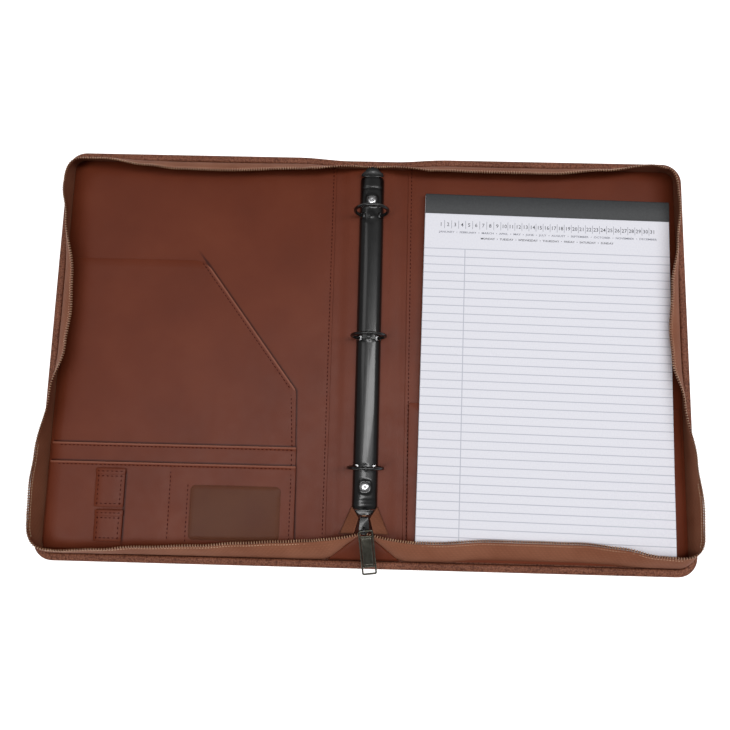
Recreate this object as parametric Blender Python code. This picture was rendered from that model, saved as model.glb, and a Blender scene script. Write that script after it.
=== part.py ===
"""Zip-round portfolio case with a three-ring mechanism and an A4 pad, lying open and flat.

Metres, +Z up. The origin is on the underside, in the middle of the spine. +X runs across the two
covers, from the pocket side to the pad side, and +Y runs towards the top of the pages.
Touching pieces keep GAP between them.
"""

import math

import bmesh
import bpy
from mathutils import Matrix, Vector

MM = 0.001
GAP = 0.3 * MM

# Driving dimensions: the outside of the case
HALF_WIDTH = 272 * MM
HALF_LENGTH = 176.5 * MM
SPINE_HEAD = 174 * MM
WAIST_X = 62 * MM
CORNER_RADIUS = 17 * MM
SKIN = 1.0 * MM
RIM_WIDTH = 7.5 * MM
RIM_TOP = 6.2 * MM

# The folds between the spine and the covers
FOLD_X = 26 * MM
FOLD_SLIT = 0.15 * MM
COVER_START = 32 * MM
SPINE_BOARD_HALF = 20 * MM
SPINE_LINING_HALF = 25.5 * MM

# Layers above the skin, as (bottom, top)
FOAM = (1.3 * MM, 2.1 * MM)
BOARD = (2.4 * MM, 4.2 * MM)
LINING = (4.5 * MM, 5.1 * MM)
POCKET = (5.4 * MM, 6.0 * MM)
UPPER_STRIP = (6.3 * MM, 6.9 * MM)
LOWER_STRIP = (7.2 * MM, 7.8 * MM)
LOOP_BASE = 8.1 * MM

# The zip wall that stands on the rim
TAPE_WIDTH = 17.6 * MM
TAPE_THICKNESS = 0.8 * MM
COIL_SIZE = 2.2 * MM
WALL_START = 48 * MM
WALL_INSET = RIM_WIDTH - 1.0 * MM
WALL_BASE = RIM_TOP + GAP

# How far each wall leans in, as (place in mm, lean in degrees), eased between the places. The bottom
# edge runs out from the spine, the side edge runs up, and the top edge runs back to the spine.
FRONT_LEANS = (
    ((48, 46), (67, 54), (98, 48), (130, 38), (177, 31), (208, 22), (239, 17), (251, 20)),
    (
        (-154, 8), (-134, -6), (-110, -8), (-87, -2), (-38, 20), (0, 45),
        (30, 52), (60, 47), (106, 21), (132, 8), (154, 14),
    ),
    ((250, 24), (226, 23), (192, 38), (166, 46), (123, 48), (63, 40), (48, 30)),
)
BACK_LEANS = (
    ((48, 58), (70, 66), (110, 68), (170, 67), (204, 58), (230, 41), (251, 37)),
    (
        (-154, 22), (-136, -5), (-115, -7), (-80, 5), (-34, 27), (0, 50),
        (22, 54), (60, 44), (96, 27), (126, 18), (154, 25),
    ),
    ((250, 23), (233, 13), (194, 29), (150, 40), (92, 40), (63, 36), (48, 30)),
)

# The ring mechanism
RING_CENTRE_Y = 13.7 * MM
RING_SPACING = 108 * MM
RING_CENTRE_Z = 20.5 * MM
RING_RADIUS = 13.9 * MM
WIRE_RADIUS = 1.4 * MM
HOUSING_HALF = 10.4 * MM
HOUSING_WALL = 1.0 * MM
HOUSING_Z = LINING[1] + GAP
HOUSING_RISE = 7.1 * MM
HOUSING_Y = (-128 * MM, 156.5 * MM)
RAIL = (6.6 * MM, 7.4 * MM)
RAIL_Y = (-117 * MM, 146 * MM)
RIVET_Y = (-110 * MM, 134.3 * MM)
RIVET_SHANK = 1.8 * MM

# The zip slider and its pull
SLIDER_Y = (-147 * MM, -133 * MM)
SLIDER_Z = (19.4 * MM, 24.4 * MM)
PULL_WIDTH = 12 * MM
PULL_LENGTH = 37 * MM
PULL_WIRE = 1.4 * MM
PULL_PIVOT = Vector((1.2 * MM, -143.2 * MM, 26.0 * MM))
PULL_DROOP = math.radians(17)
PULL_SWING = math.radians(7)

# The pad, A4
PAD_WIDTH = 210 * MM
PAD_LENGTH = 297 * MM
PAD_CENTRE = (149.2 * MM, -8.9 * MM)
PAD_TURN = math.radians(-1.0)
BINDING_DEPTH = 16.6 * MM
CARD = (5.4 * MM, 6.2 * MM)
SLEEVE = (5.4 * MM, 7.1 * MM)
PAGES = (7.4 * MM, 10.4 * MM)
TOP_SHEET = (10.7 * MM, 11.0 * MM)


# Materials

def material(name, colour, roughness, metallic=0.0):
    """A plain surface of one colour, given as red, green and blue from 0 to 1."""
    made = bpy.data.materials.new(name)
    made.use_nodes = True
    shader = made.node_tree.nodes["Principled BSDF"]
    shader.inputs["Base Color"].default_value = (*colour, 1)
    shader.inputs["Roughness"].default_value = roughness
    shader.inputs["Metallic"].default_value = metallic
    return made


def make_materials():
    return {
        "grained_leather": material("grained_leather", (0.13, 0.05, 0.03), 0.55),
        "smooth_leather": material("smooth_leather", (0.16, 0.055, 0.03), 0.45),
        "foam": material("foam", (0.5, 0.48, 0.42), 0.9),
        "board": material("board", (0.35, 0.3, 0.24), 0.85),
        "tape": material("tape", (0.25, 0.11, 0.06), 0.8),
        "coil": material("coil", (0.36, 0.2, 0.13), 0.4),
        "film": material("film", (0.6, 0.5, 0.45), 0.1),
        "black_steel": material("black_steel", (0.01, 0.01, 0.01), 0.25),
        "bright_steel": material("bright_steel", (0.8, 0.8, 0.8), 0.2, 1.0),
        "gunmetal": material("gunmetal", (0.12, 0.12, 0.11), 0.35, 1.0),
        "paper": material("paper", (0.85, 0.85, 0.88), 0.9),
        "binding": material("binding", (0.03, 0.03, 0.035), 0.5),
        "card": material("card", (0.45, 0.42, 0.36), 0.9),
    }


# Meshes

def finish(shape, name, made_of, parent=None):
    """Turns a bmesh into a named object whose faces point outwards."""
    bmesh.ops.recalc_face_normals(shape, faces=shape.faces)
    mesh = bpy.data.meshes.new(name)
    shape.to_mesh(mesh)
    shape.free()
    made = bpy.data.objects.new(name, mesh)
    bpy.context.collection.objects.link(made)
    made.data.materials.append(made_of)
    made.data.set_sharp_from_angle(angle=math.radians(30))
    made.parent = parent
    return made


def rounded(corners, steps=5):
    """An outline through (x, y, radius) corners, each turned into an arc of its radius."""
    outline = []
    count = len(corners)
    for i, (x, y, radius) in enumerate(corners):
        here = Vector((x, y))
        if not radius:
            outline.append(here)
            continue
        back = (Vector(corners[i - 1][:2]) - here).normalized()
        ahead = (Vector(corners[(i + 1) % count][:2]) - here).normalized()
        half = back.angle(ahead) / 2
        centre = here + (back + ahead).normalized() * radius / math.sin(half)
        start = here + back * radius / math.tan(half) - centre
        turn = math.copysign(math.pi - 2 * half, back.cross(ahead) * -1)
        for k in range(steps + 1):
            arm = start.copy()
            arm.rotate(Matrix.Rotation(turn * k / steps, 2))
            outline.append(centre + arm)
    return outline


def rectangle(x0, x1, y0, y1, radius=0.0):
    return rounded([(x0, y0, radius), (x1, y0, radius), (x1, y1, radius), (x0, y1, radius)])


def mirrored(outline, side):
    return [Vector((side * p[0], p[1])) for p in outline]


def prism_mesh(shape, outline, z0, z1):
    base = [shape.verts.new((p[0], p[1], z0)) for p in outline]
    top = [shape.verts.new((p[0], p[1], z1)) for p in outline]
    shape.faces.new(base)
    shape.faces.new(top)
    for i in range(len(outline)):
        j = (i + 1) % len(outline)
        shape.faces.new((base[i], base[j], top[j], top[i]))


def slab(name, outline, layer, made_of, parent=None):
    """A flat piece with this outline, from layer[0] up to layer[1]."""
    shape = bmesh.new()
    prism_mesh(shape, outline, *layer)
    return finish(shape, name, made_of, parent)


def sweep(name, frames, section, made_of, parent=None):
    """Carries a closed section along frames of (point, first axis, second axis)."""
    shape = bmesh.new()
    rings = []
    for point, first, second in frames:
        rings.append([shape.verts.new(point + first * u + second * v) for u, v in section])
    for ring, following in zip(rings, rings[1:]):
        for i in range(len(section)):
            # Facing sides split along the same diagonal, so a thin twisted wall keeps its thickness.
            low, high = sorted((i, (i + 1) % len(section)), key=lambda n: tuple(section[n]))
            shape.faces.new((ring[low], ring[high], following[high]))
            shape.faces.new((ring[low], following[high], following[low]))
    shape.faces.new(rings[0])
    shape.faces.new(rings[-1])
    return finish(shape, name, made_of, parent)


def panel(name, corners, thickness, made_of):
    """A thin flat piece with its underside through these corners."""
    points = [Vector(c) for c in corners]
    normal = (points[1] - points[0]).cross(points[2] - points[0]).normalized()
    normal *= math.copysign(thickness, normal.z)
    shape = bmesh.new()
    lower = [shape.verts.new(p) for p in points]
    upper = [shape.verts.new(p + normal) for p in points]
    shape.faces.new(lower)
    shape.faces.new(upper)
    for i in range(len(points)):
        j = (i + 1) % len(points)
        shape.faces.new((lower[i], lower[j], upper[j], upper[i]))
    return finish(shape, name, made_of)


def circle(radius, count, centre=(0.0, 0.0)):
    return [
        Vector((centre[0] + radius * math.cos(a), centre[1] + radius * math.sin(a)))
        for a in (math.tau * k / count for k in range(count))
    ]


def cut(target, shape, name, operation="DIFFERENCE"):
    """Cuts a closed helper shape out of a piece, or keeps only what they share."""
    helper = finish(shape, name, target.data.materials[0])
    helper.hide_render = True
    helper.display_type = "WIRE"
    boolean = target.modifiers.new(name, "BOOLEAN")
    boolean.operation = operation
    boolean.object = helper


def cut_prisms(target, outlines, z0, z1, name):
    shape = bmesh.new()
    for outline in outlines:
        prism_mesh(shape, outline, z0, z1)
    cut(target, shape, name)


# The covers and the spine

def cover_outline(start, inset):
    """A cover's outline on the +X side, inset from the outer edge, drawn in at the head of the spine."""
    waist = HALF_LENGTH - SPINE_HEAD
    along = (start - FOLD_X) / (WAIST_X - FOLD_X)
    near = SPINE_HEAD + waist * max(along, 0) - inset
    far = HALF_LENGTH - inset
    edge = HALF_WIDTH - inset
    radius = CORNER_RADIUS - inset
    return rounded(
        [
            (start, -far, 0),
            (edge, -far, radius),
            (edge, far, radius),
            (WAIST_X, far, 0),
            (start, near, 0),
        ],
        steps=6,
    )


def make_cover(prefix, side, materials):
    """Skin with its turned-up rim, foam, board and lining of one cover."""
    start = FOLD_X + FOLD_SLIT
    outer = mirrored(cover_outline(start, 0), side)
    skin = slab(prefix + "_skin", outer, (0, RIM_TOP), materials["grained_leather"])
    tray = mirrored(cover_outline(COVER_START, RIM_WIDTH), side)
    cut_prisms(skin, [tray], SKIN, 2 * RIM_TOP, prefix + "_tray_cutter")
    beyond = 2 * HALF_LENGTH
    strip = mirrored(rectangle(0, COVER_START, -beyond, beyond), side)
    cut_prisms(skin, [strip], SKIN, 2 * RIM_TOP, prefix + "_fold_cutter")

    inner = mirrored(cover_outline(COVER_START, RIM_WIDTH + GAP), side)
    slab(prefix + "_foam", inner, FOAM, materials["foam"])
    slab(prefix + "_board", inner, BOARD, materials["board"])
    slab(prefix + "_lining", inner, LINING, materials["smooth_leather"])


def make_spine(materials):
    half = FOLD_X - FOLD_SLIT
    outline = rectangle(-half, half, -HALF_LENGTH, SPINE_HEAD)
    skin = slab("spine_skin", outline, (0, RIM_TOP), materials["grained_leather"])
    foot = RIM_WIDTH - HALF_LENGTH
    head = SPINE_HEAD - RIM_WIDTH
    beyond = 2 * HALF_LENGTH
    centre = rectangle(-2 * FOLD_X, 2 * FOLD_X, foot, head)
    cut_prisms(skin, [centre], SKIN, 2 * RIM_TOP, "spine_tray_cutter")
    sides = [
        mirrored(rectangle(SPINE_BOARD_HALF, 2 * FOLD_X, -beyond, beyond), side)
        for side in (-1, 1)
    ]
    cut_prisms(skin, sides, SKIN, 2 * RIM_TOP, "spine_fold_cutter")

    foot += GAP
    head -= GAP
    narrow = rectangle(-SPINE_BOARD_HALF, SPINE_BOARD_HALF, foot, head)
    wide = rectangle(-SPINE_LINING_HALF, SPINE_LINING_HALF, foot, head)
    slab("spine_foam", narrow, FOAM, materials["foam"])
    board = slab("spine_board", narrow, BOARD, materials["board"])
    lining = slab("spine_lining", wide, LINING, materials["smooth_leather"])
    holes = [circle(RIVET_SHANK + GAP, 16, (0, y)) for y in RIVET_Y]
    cut_prisms(board, holes, FOAM[1], LINING[0], "board_rivet_cutter")
    cut_prisms(lining, holes, BOARD[1], HOUSING_Z, "lining_rivet_cutter")


# The zip wall

def ease(t):
    return t * t * (3 - 2 * t)


def lean_at(keys, place):
    """The lean in degrees at a place on one edge, eased between the keys on either side of it."""
    for (here, lean), (there, next_lean) in zip(keys, keys[1:]):
        if min(here, there) <= place <= max(here, there):
            return lean + (next_lean - lean) * ease((place - here) / (there - here))
    return keys[-1][1]


def wall_stations(leans):
    """Points round the three outer sides on the +X side, as (point, inward direction, lean)."""
    edge = HALF_WIDTH - WALL_INSET
    far = HALF_LENGTH - WALL_INSET
    radius = CORNER_RADIUS - WALL_INSET
    bend = edge - radius
    stations = []

    def straight(start, end, inward, keys, count):
        first, last = keys[0][0], keys[-1][0]
        for k in range(count + 1):
            lean = lean_at(keys, first + (last - first) * k / count)
            point = Vector(start).lerp(Vector(end), k / count)
            stations.append((point, Vector(inward), math.radians(lean)))

    def corner(centre, start_angle, before, after):
        for k in range(1, 6):
            angle = start_angle + math.pi / 2 * k / 6
            out = Vector((math.cos(angle), math.sin(angle)))
            lean = before + (after - before) * ease(k / 6)
            stations.append((Vector(centre) + out * radius, -out, math.radians(lean)))

    bottom, side, top = leans
    drawn = (HALF_LENGTH - SPINE_HEAD) * (WAIST_X - WALL_START) / (WAIST_X - FOLD_X)
    straight((WALL_START, -far), (bend, -far), (0, 1), bottom, 16)
    corner((bend, -far + radius), -math.pi / 2, bottom[-1][1], side[0][1])
    straight((edge, -far + radius), (edge, far - radius), (-1, 0), side, 24)
    corner((bend, far - radius), 0, side[-1][1], top[0][1])
    near_keys = [key for key in top if key[0] * MM > WAIST_X]
    straight((bend, far), (WAIST_X, far), (0, -1), near_keys, 15)
    last = top[-1][1]
    stations.append((Vector((WALL_START, far - drawn)), Vector((0, -1)), math.radians(last)))
    return stations


def wall_frames(stations, side):
    """Frames up the wall's slope and across its thickness."""
    frames = []
    for point, inward, lean in stations:
        inside = Vector((side * inward[0], inward[1], 0))
        up = inside * math.sin(lean) + Vector((0, 0, math.cos(lean)))
        across = inside * math.cos(lean) - Vector((0, 0, math.sin(lean)))
        frames.append((Vector((side * point[0], point[1], WALL_BASE)), up, across))
    return frames


def make_zip_wall(prefix, side, leans, materials):
    frames = wall_frames(wall_stations(leans), side)
    half = TAPE_THICKNESS / 2
    foot = half
    tape = [(foot, -half), (TAPE_WIDTH, -half), (TAPE_WIDTH, half), (foot, half)]
    sweep(prefix + "_zip_tape", frames, tape, materials["tape"])
    low = TAPE_WIDTH + GAP
    middle = low + COIL_SIZE / 2
    coil = [(middle + u, v) for u, v in circle(COIL_SIZE / 2, 8)]
    sweep(prefix + "_zip_coil", frames, coil, materials["coil"])
    return frames[0], frames[-1]


def make_bridge(name, near_frame, foot, tip, materials):
    """Loose tape between the end of a wall and the spine, which folds with the cover."""
    point, up, _ = near_frame
    height = TAPE_WIDTH + COIL_SIZE
    shy = Vector((-math.copysign(GAP, point[0]), 0, 0))
    base = point + up * TAPE_THICKNESS + shy
    crest = point + up * height + shy
    shape = bmesh.new()
    grow = Vector((0, -math.copysign(TAPE_THICKNESS, point[1]), 0))
    ring = [base, crest, Vector(tip), Vector(foot)]
    front = [shape.verts.new(p) for p in ring]
    rear = [shape.verts.new(p + grow) for p in ring]
    for corners in ((0, 1, 2), (0, 2, 3)):
        shape.faces.new([front[i] for i in corners])
        shape.faces.new([rear[i] for i in corners])
    for i in range(4):
        j = (i + 1) % 4
        shape.faces.new((front[i], front[j], rear[j], rear[i]))
    finish(shape, name, materials["tape"])


def make_zip(materials):
    clear = SLIDER_Z[0] - GAP
    rim_foot = HALF_LENGTH - WALL_INSET
    rim_head = SPINE_HEAD - WALL_INSET
    for prefix, side, leans in (("front", -1, FRONT_LEANS), ("back", 1, BACK_LEANS)):
        bottom, top = make_zip_wall(prefix, side, leans, materials)
        foot = (side * 22 * MM, -rim_foot, WALL_BASE)
        tip = (side * 5.5 * MM, SLIDER_Y[0] - GAP, SLIDER_Z[0] + 2 * MM)
        make_bridge(prefix + "_bridge_bottom", bottom, foot, tip, materials)
        foot = (side * GAP, rim_head, WALL_BASE)
        tip = (side * GAP, rim_head - 2 * MM, WALL_BASE + TAPE_WIDTH)
        make_bridge(prefix + "_bridge_top", top, foot, tip, materials)

    base = 19 * MM
    apex = 4.2 * MM
    lift = clear - TAPE_THICKNESS
    corners = [
        (-base, -rim_foot, WALL_BASE),
        (base, -rim_foot, WALL_BASE),
        (apex, SLIDER_Y[0] - MM, lift),
        (-apex, SLIDER_Y[0] - MM, lift),
    ]
    panel("zip_end_gusset", corners, TAPE_THICKNESS, materials["smooth_leather"])
    for name, side in (("zip_end_tape_front", -1), ("zip_end_tape_back", 1)):
        corners = [
            (side * 11.4 * MM, -129 * MM, HOUSING_Z),
            (side * 19.5 * MM, -149 * MM, HOUSING_Z),
            (side * 5.4 * MM, -142 * MM, lift),
        ]
        panel(name, corners, TAPE_THICKNESS, materials["tape"])

    level = (SLIDER_Z[0] + SLIDER_Z[1]) / 2
    half = COIL_SIZE / 2
    stub = rectangle(-COIL_SIZE, COIL_SIZE, SLIDER_Y[0] + 7 * MM, SLIDER_Y[1] + MM, 0.5 * MM)
    slab("zip_end_coil", stub, (level - half, level + half), materials["coil"])


# The slider and its pull

def make_slider(materials):
    steel = materials["black_steel"]
    outer, inner = SLIDER_Y
    outline = rounded(
        [
            (-3.4 * MM, inner, 1 * MM),
            (-4.25 * MM, outer + 5 * MM, 2 * MM),
            (-2.6 * MM, outer + 0.6 * MM, 1 * MM),
            (0, outer, 0.8 * MM),
            (2.6 * MM, outer + 0.6 * MM, 1 * MM),
            (4.25 * MM, outer + 5 * MM, 2 * MM),
            (3.4 * MM, inner, 1 * MM),
        ],
        steps=3,
    )
    body = slab("slider_body", outline, SLIDER_Z, steel)
    level = (SLIDER_Z[0] + SLIDER_Z[1]) / 2
    half = COIL_SIZE / 2 + GAP
    throat = COIL_SIZE + GAP
    split = outer + 6.6 * MM
    fork = [
        Vector((-throat, inner + MM)),
        Vector((-throat, split + MM)),
        Vector((-6 * MM, outer - MM)),
        Vector((-1.6 * MM, outer - MM)),
        Vector((0, split)),
        Vector((1.6 * MM, outer - MM)),
        Vector((6 * MM, outer - MM)),
        Vector((throat, split + MM)),
        Vector((throat, inner + MM)),
    ]
    cut_prisms(body, [fork], level - half, level + half, "slider_channel_cutter")

    rise = 3.0 * MM
    reach = 2.6 * MM
    arch = [
        (Vector((0, PULL_PIVOT.y + reach * math.cos(a), SLIDER_Z[1] + GAP + rise * math.sin(a))), a)
        for a in (math.pi * k / 10 for k in range(11))
    ]
    frames = [
        (point, Vector((1, 0, 0)), Vector((0, math.cos(a), math.sin(a)))) for point, a in arch
    ]
    bar = [(-1.1 * MM, 0), (1.1 * MM, 0), (1.1 * MM, 0.8 * MM), (-1.1 * MM, 0.8 * MM)]
    sweep("slider_bail", frames, bar, steel)


def pull_place():
    """From the pull's own axes, with its length along -Y, to its place on the slider."""
    droop = Matrix.Rotation(PULL_DROOP, 4, "X")
    swing = Matrix.Rotation(PULL_SWING, 4, "Z")
    return Matrix.Translation(PULL_PIVOT) @ swing @ droop


def make_pull(materials):
    pivot = bpy.data.objects.new("pull_pivot", None)
    bpy.context.collection.objects.link(pivot)
    pivot.matrix_world = pull_place()

    wire = PULL_WIRE
    half = PULL_WIDTH / 2
    low, high = -wire / 2, wire / 2
    outline = rectangle(-half, half, -PULL_LENGTH, wire / 2, 1.2 * MM)
    frame = slab("pull_frame", outline, (low, high), materials["gunmetal"], pivot)
    ledge = 29.5 * MM
    bay_start = 5.2 * MM
    eye = rectangle(-half + wire, half - wire, -4.0 * MM, -wire / 2, 0.5 * MM)
    bay = rectangle(-half + wire, half - wire, -ledge, -bay_start)
    loop = rectangle(-half + wire, half - wire, -PULL_LENGTH + wire, -ledge - 1.2 * MM, 0.6 * MM)
    shape = bmesh.new()
    for opening in (eye, bay, loop):
        prism_mesh(shape, opening, 2 * low, 2 * high)
    cut(frame, shape, "pull_openings_cutter")
    helper = bpy.data.objects["pull_openings_cutter"]
    helper.parent = pivot

    side = half - wire - GAP
    plate = rectangle(-side, side, -ledge + GAP, -bay_start - GAP)
    slab("pull_plate", plate, (0.8 * low, 0.8 * high), materials["gunmetal"], pivot)


# The ring mechanism

def arch_section(half_width, rise, foot):
    """Points over an arch, from +X to -X, standing on z = foot."""
    count = 14
    return [
        (half_width * math.cos(math.pi * k / count), foot + rise * math.sin(math.pi * k / count))
        for k in range(count + 1)
    ]


def ring_places():
    return [RING_CENTRE_Y + RING_SPACING * k for k in (-1, 0, 1)]


def make_housing(materials):
    outer = arch_section(HOUSING_HALF, HOUSING_RISE, HOUSING_Z)
    inner = arch_section(HOUSING_HALF - HOUSING_WALL, HOUSING_RISE - HOUSING_WALL, HOUSING_Z)
    section = outer + inner[::-1]
    across, up = Vector((1, 0, 0)), Vector((0, 0, 1))
    frames = [(Vector((0, y, 0)), across, up) for y in HOUSING_Y]
    housing = sweep("ring_housing", frames, section, materials["black_steel"])

    plan = rounded(
        [
            (-HOUSING_HALF * 2, HOUSING_Y[1] - 9 * MM, 0),
            (-9.2 * MM, HOUSING_Y[1] + MM, 3 * MM),
            (9.2 * MM, HOUSING_Y[1] + MM, 3 * MM),
            (HOUSING_HALF * 2, HOUSING_Y[1] - 9 * MM, 0),
            (HOUSING_HALF * 2, HOUSING_Y[0] + 9 * MM, 0),
            (9.2 * MM, HOUSING_Y[0] - MM, 3 * MM),
            (-9.2 * MM, HOUSING_Y[0] - MM, 3 * MM),
            (-HOUSING_HALF * 2, HOUSING_Y[0] + 9 * MM, 0),
        ]
    )
    shape = bmesh.new()
    prism_mesh(shape, plan, 0, 4 * HOUSING_RISE)
    cut(housing, shape, "housing_plan_cutter", "INTERSECT")

    half = WIRE_RADIUS + 2 * GAP
    slots = [
        mirrored(rectangle(5.6 * MM, HOUSING_HALF + 2 * MM, y - half, y + half), side)
        for y in ring_places()
        for side in (-1, 1)
    ]
    cut_prisms(housing, slots, HOUSING_Z + 0.9 * MM, 4 * HOUSING_RISE, "housing_slot_cutter")
    holes = [circle(RIVET_SHANK + GAP, 16, (0, y)) for y in RIVET_Y]
    cut_prisms(housing, holes, HOUSING_Z, 4 * HOUSING_RISE, "housing_rivet_cutter")


def make_rivets(materials):
    """Turned rivets: a domed head on the housing and a shank down into the spine board."""
    top = HOUSING_Z + HOUSING_RISE + GAP
    profile = [(0, BOARD[0]), (RIVET_SHANK, BOARD[0]), (RIVET_SHANK, top)]
    head = 3.6 * MM
    profile += [
        (head * math.cos(a), top + 0.4 * MM + 1.4 * MM * math.sin(a))
        for a in (math.pi / 2 * k / 4 for k in range(4))
    ]
    profile.insert(3, (head, top))
    profile.append((0, top + 1.8 * MM))
    for name, y in zip(("rivet_bottom", "rivet_top"), RIVET_Y):
        shape = bmesh.new()
        verts = [shape.verts.new((r, 0, z)) for r, z in profile]
        edges = [shape.edges.new(pair) for pair in zip(verts, verts[1:])]
        bmesh.ops.spin(
            shape,
            geom=verts + edges,
            cent=(0, 0, 0),
            axis=(0, 0, 1),
            angle=math.tau,
            steps=16,
            use_duplicate=False,
        )
        bmesh.ops.remove_doubles(shape, verts=shape.verts, dist=1e-6)
        bmesh.ops.translate(shape, vec=(0, y, 0), verts=shape.verts)
        finish(shape, name, materials["bright_steel"])


def make_rails(materials):
    notch = RIVET_SHANK + 4 * GAP
    for name, side in (("left_rail", -1), ("right_rail", 1)):
        outline = mirrored(rectangle(0.5 * GAP, 8.2 * MM, *RAIL_Y), side)
        rail = slab(name, outline, RAIL, materials["bright_steel"])
        holes = [circle(notch, 12, (0, y)) for y in RIVET_Y]
        cut_prisms(rail, holes, 0, 2 * RAIL[1], name + "_notch_cutter")


def make_rings(materials):
    """Each ring is two half hoops that meet at the top and stand on their rails."""
    section = [(p[0], p[1]) for p in circle(WIRE_RADIUS, 10)]
    first, last = math.pi / 2, math.radians(-55)
    shy = GAP / 2 / RING_RADIUS
    names = ("bottom", "middle", "top")
    for label, y in zip(names, ring_places()):
        for half, side in (("left", -1), ("right", 1)):
            frames = []
            for k in range(15):
                a = first - shy + (last - first + shy) * k / 14
                out = Vector((side * math.cos(a), 0, math.sin(a)))
                centre = Vector((0, y, RING_CENTRE_Z))
                frames.append((centre + out * RING_RADIUS, out, Vector((0, 1, 0))))
            sweep(f"{half}_ring_{label}", frames, section, materials["black_steel"])


def lever_profile(edge, direction):
    """Side view of a lever from under the housing's end at y = edge, as (y, z) points."""
    return [
        (edge + direction * run * MM, height * MM)
        for run, height in (
            (-7.5, 7.9), (-2, 7.9), (1, 9.4), (8, 9.4), (8, 10.6), (0.5, 10.6), (-2.5, 9.0), (-7.5, 9.0),
        )
    ]


def make_lever(name, edge, direction, reach, materials):
    across, ahead, up = Vector((1, 0, 0)), Vector((0, 1, 0)), Vector((0, 0, 1))
    frames = [(across * x, ahead, up) for x in (-8 * MM, 8 * MM)]
    lever = sweep(name, frames, lever_profile(edge, direction), materials["black_steel"])
    tongue = 3.8 * MM
    out = edge + direction * 0.5 * MM
    tip = edge + direction * reach
    root = edge - direction * 9 * MM
    plan = rounded(
        [
            (-tongue, root, 0),
            (-tongue, out, 0),
            (-7.6 * MM, out, 0.5 * MM),
            (-7.6 * MM, out + direction * 1.5 * MM, 1 * MM),
            (-4 * MM, tip, 1 * MM),
            (4 * MM, tip, 1 * MM),
            (7.6 * MM, out + direction * 1.5 * MM, 1 * MM),
            (7.6 * MM, out, 0.5 * MM),
            (tongue, out, 0),
            (tongue, root, 0),
        ],
        steps=3,
    )
    shape = bmesh.new()
    prism_mesh(shape, plan, 0, 4 * HOUSING_RISE)
    cut(lever, shape, name + "_plan_cutter", "INTERSECT")


# The pockets of the front cover

def make_pockets(materials):
    leather = materials["smooth_leather"]
    left = -261.5 * MM
    floor = -165.5 * MM
    pocket = rounded(
        [
            (left, floor, 6 * MM),
            (-57 * MM, floor, 1 * MM),
            (-60 * MM, -32 * MM, 9 * MM),
            (-143 * MM, 79.5 * MM, 22 * MM),
            (left, 79.5 * MM, 0),
        ]
    )
    slab("document_pocket", pocket, POCKET, leather)
    upper = rectangle(left, -58 * MM, floor, -79.5 * MM)
    lower = rectangle(left, -57.5 * MM, floor, -95 * MM)
    slab("card_strip_upper", upper, UPPER_STRIP, leather)
    strip = slab("card_strip_lower", lower, LOWER_STRIP, leather)

    window = (-143.5 * MM, -69.6 * MM, -156 * MM, -112.5 * MM)
    cut_prisms(strip, [rectangle(*window, 4 * MM)], 0, 2 * LOWER_STRIP[1], "window_cutter")
    x0, x1, y0, y1 = window
    film = rectangle(x0 + GAP, x1 - GAP, y0 + GAP, y1 - GAP, 3.7 * MM)
    slab("id_window", film, (LOWER_STRIP[0], LOWER_STRIP[0] + 0.3 * MM), materials["film"])

    make_loop("pen_loop_upper", (-222.5 * MM, -198.2 * MM), (-131.6 * MM, -100 * MM), leather)
    make_loop("pen_loop_lower", (-221 * MM, -198 * MM), (-159 * MM, -133.7 * MM), leather)


def make_loop(name, across, along, made_of):
    """A band sewn down at its left and right edges, bowed up between them for a pen."""
    x0, x1 = across
    middle = (x0 + x1) / 2
    half = (x1 - x0) / 2
    rise = 2.2 * MM
    wall = 0.8 * MM
    count = 10
    under, over = [], []
    for k in range(count + 1):
        u = 2 * k / count - 1
        bow = rise * (1 - abs(u) ** 4)
        under.append((middle + half * u, LOOP_BASE + bow))
        over.append((middle + half * u, LOOP_BASE + wall + bow))
    frames = [(Vector((0, y, 0)), Vector((1, 0, 0)), Vector((0, 0, 1))) for y in along]
    sweep(name, frames, under + over[::-1], made_of)


# The pad and the sleeve that holds it

def pad_place():
    return Matrix.Translation((*PAD_CENTRE, 0)) @ Matrix.Rotation(PAD_TURN, 4, "Z")


def make_sleeve(materials):
    x0, x1 = 35 * MM, 262 * MM
    y0, y1 = -166 * MM, -40 * MM
    hem = 2 * MM
    outline = rectangle(x0, x1, y0, y1)
    sleeve = slab("pad_sleeve", outline, SLEEVE, materials["smooth_leather"])
    hollow = rectangle(x0 + hem, x1 - hem, y0 + hem, y1 + hem)
    cut_prisms(sleeve, [hollow], 0, SLEEVE[1] - 0.6 * MM, "sleeve_cutter")


def make_pad(materials):
    pad = bpy.data.objects.new("pad_place", None)
    bpy.context.collection.objects.link(pad)
    pad.matrix_world = pad_place()
    half = PAD_WIDTH / 2
    end = PAD_LENGTH / 2
    band = end - BINDING_DEPTH
    slab("pad_card", rectangle(-half, half, -end, end), CARD, materials["card"], pad)
    slab("pad_pages", rectangle(-half, half, -end, end), PAGES, materials["paper"], pad)
    sheet = rectangle(-half, half, -end, band - GAP)
    slab("pad_top_sheet", sheet, TOP_SHEET, materials["paper"], pad)

    lip = end + GAP
    wrap = [
        (band, TOP_SHEET[0]), (lip, TOP_SHEET[0]), (lip, CARD[0]), (lip + 0.4 * MM, CARD[0]),
        (lip + 0.4 * MM, TOP_SHEET[1] + 0.1 * MM), (band, TOP_SHEET[1] + 0.1 * MM),
    ]
    ahead, up = Vector((0, 1, 0)), Vector((0, 0, 1))
    frames = [(Vector((x, 0, 0)), ahead, up) for x in (-half, half)]
    sweep("pad_binding", frames, wrap, materials["binding"], pad)


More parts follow.
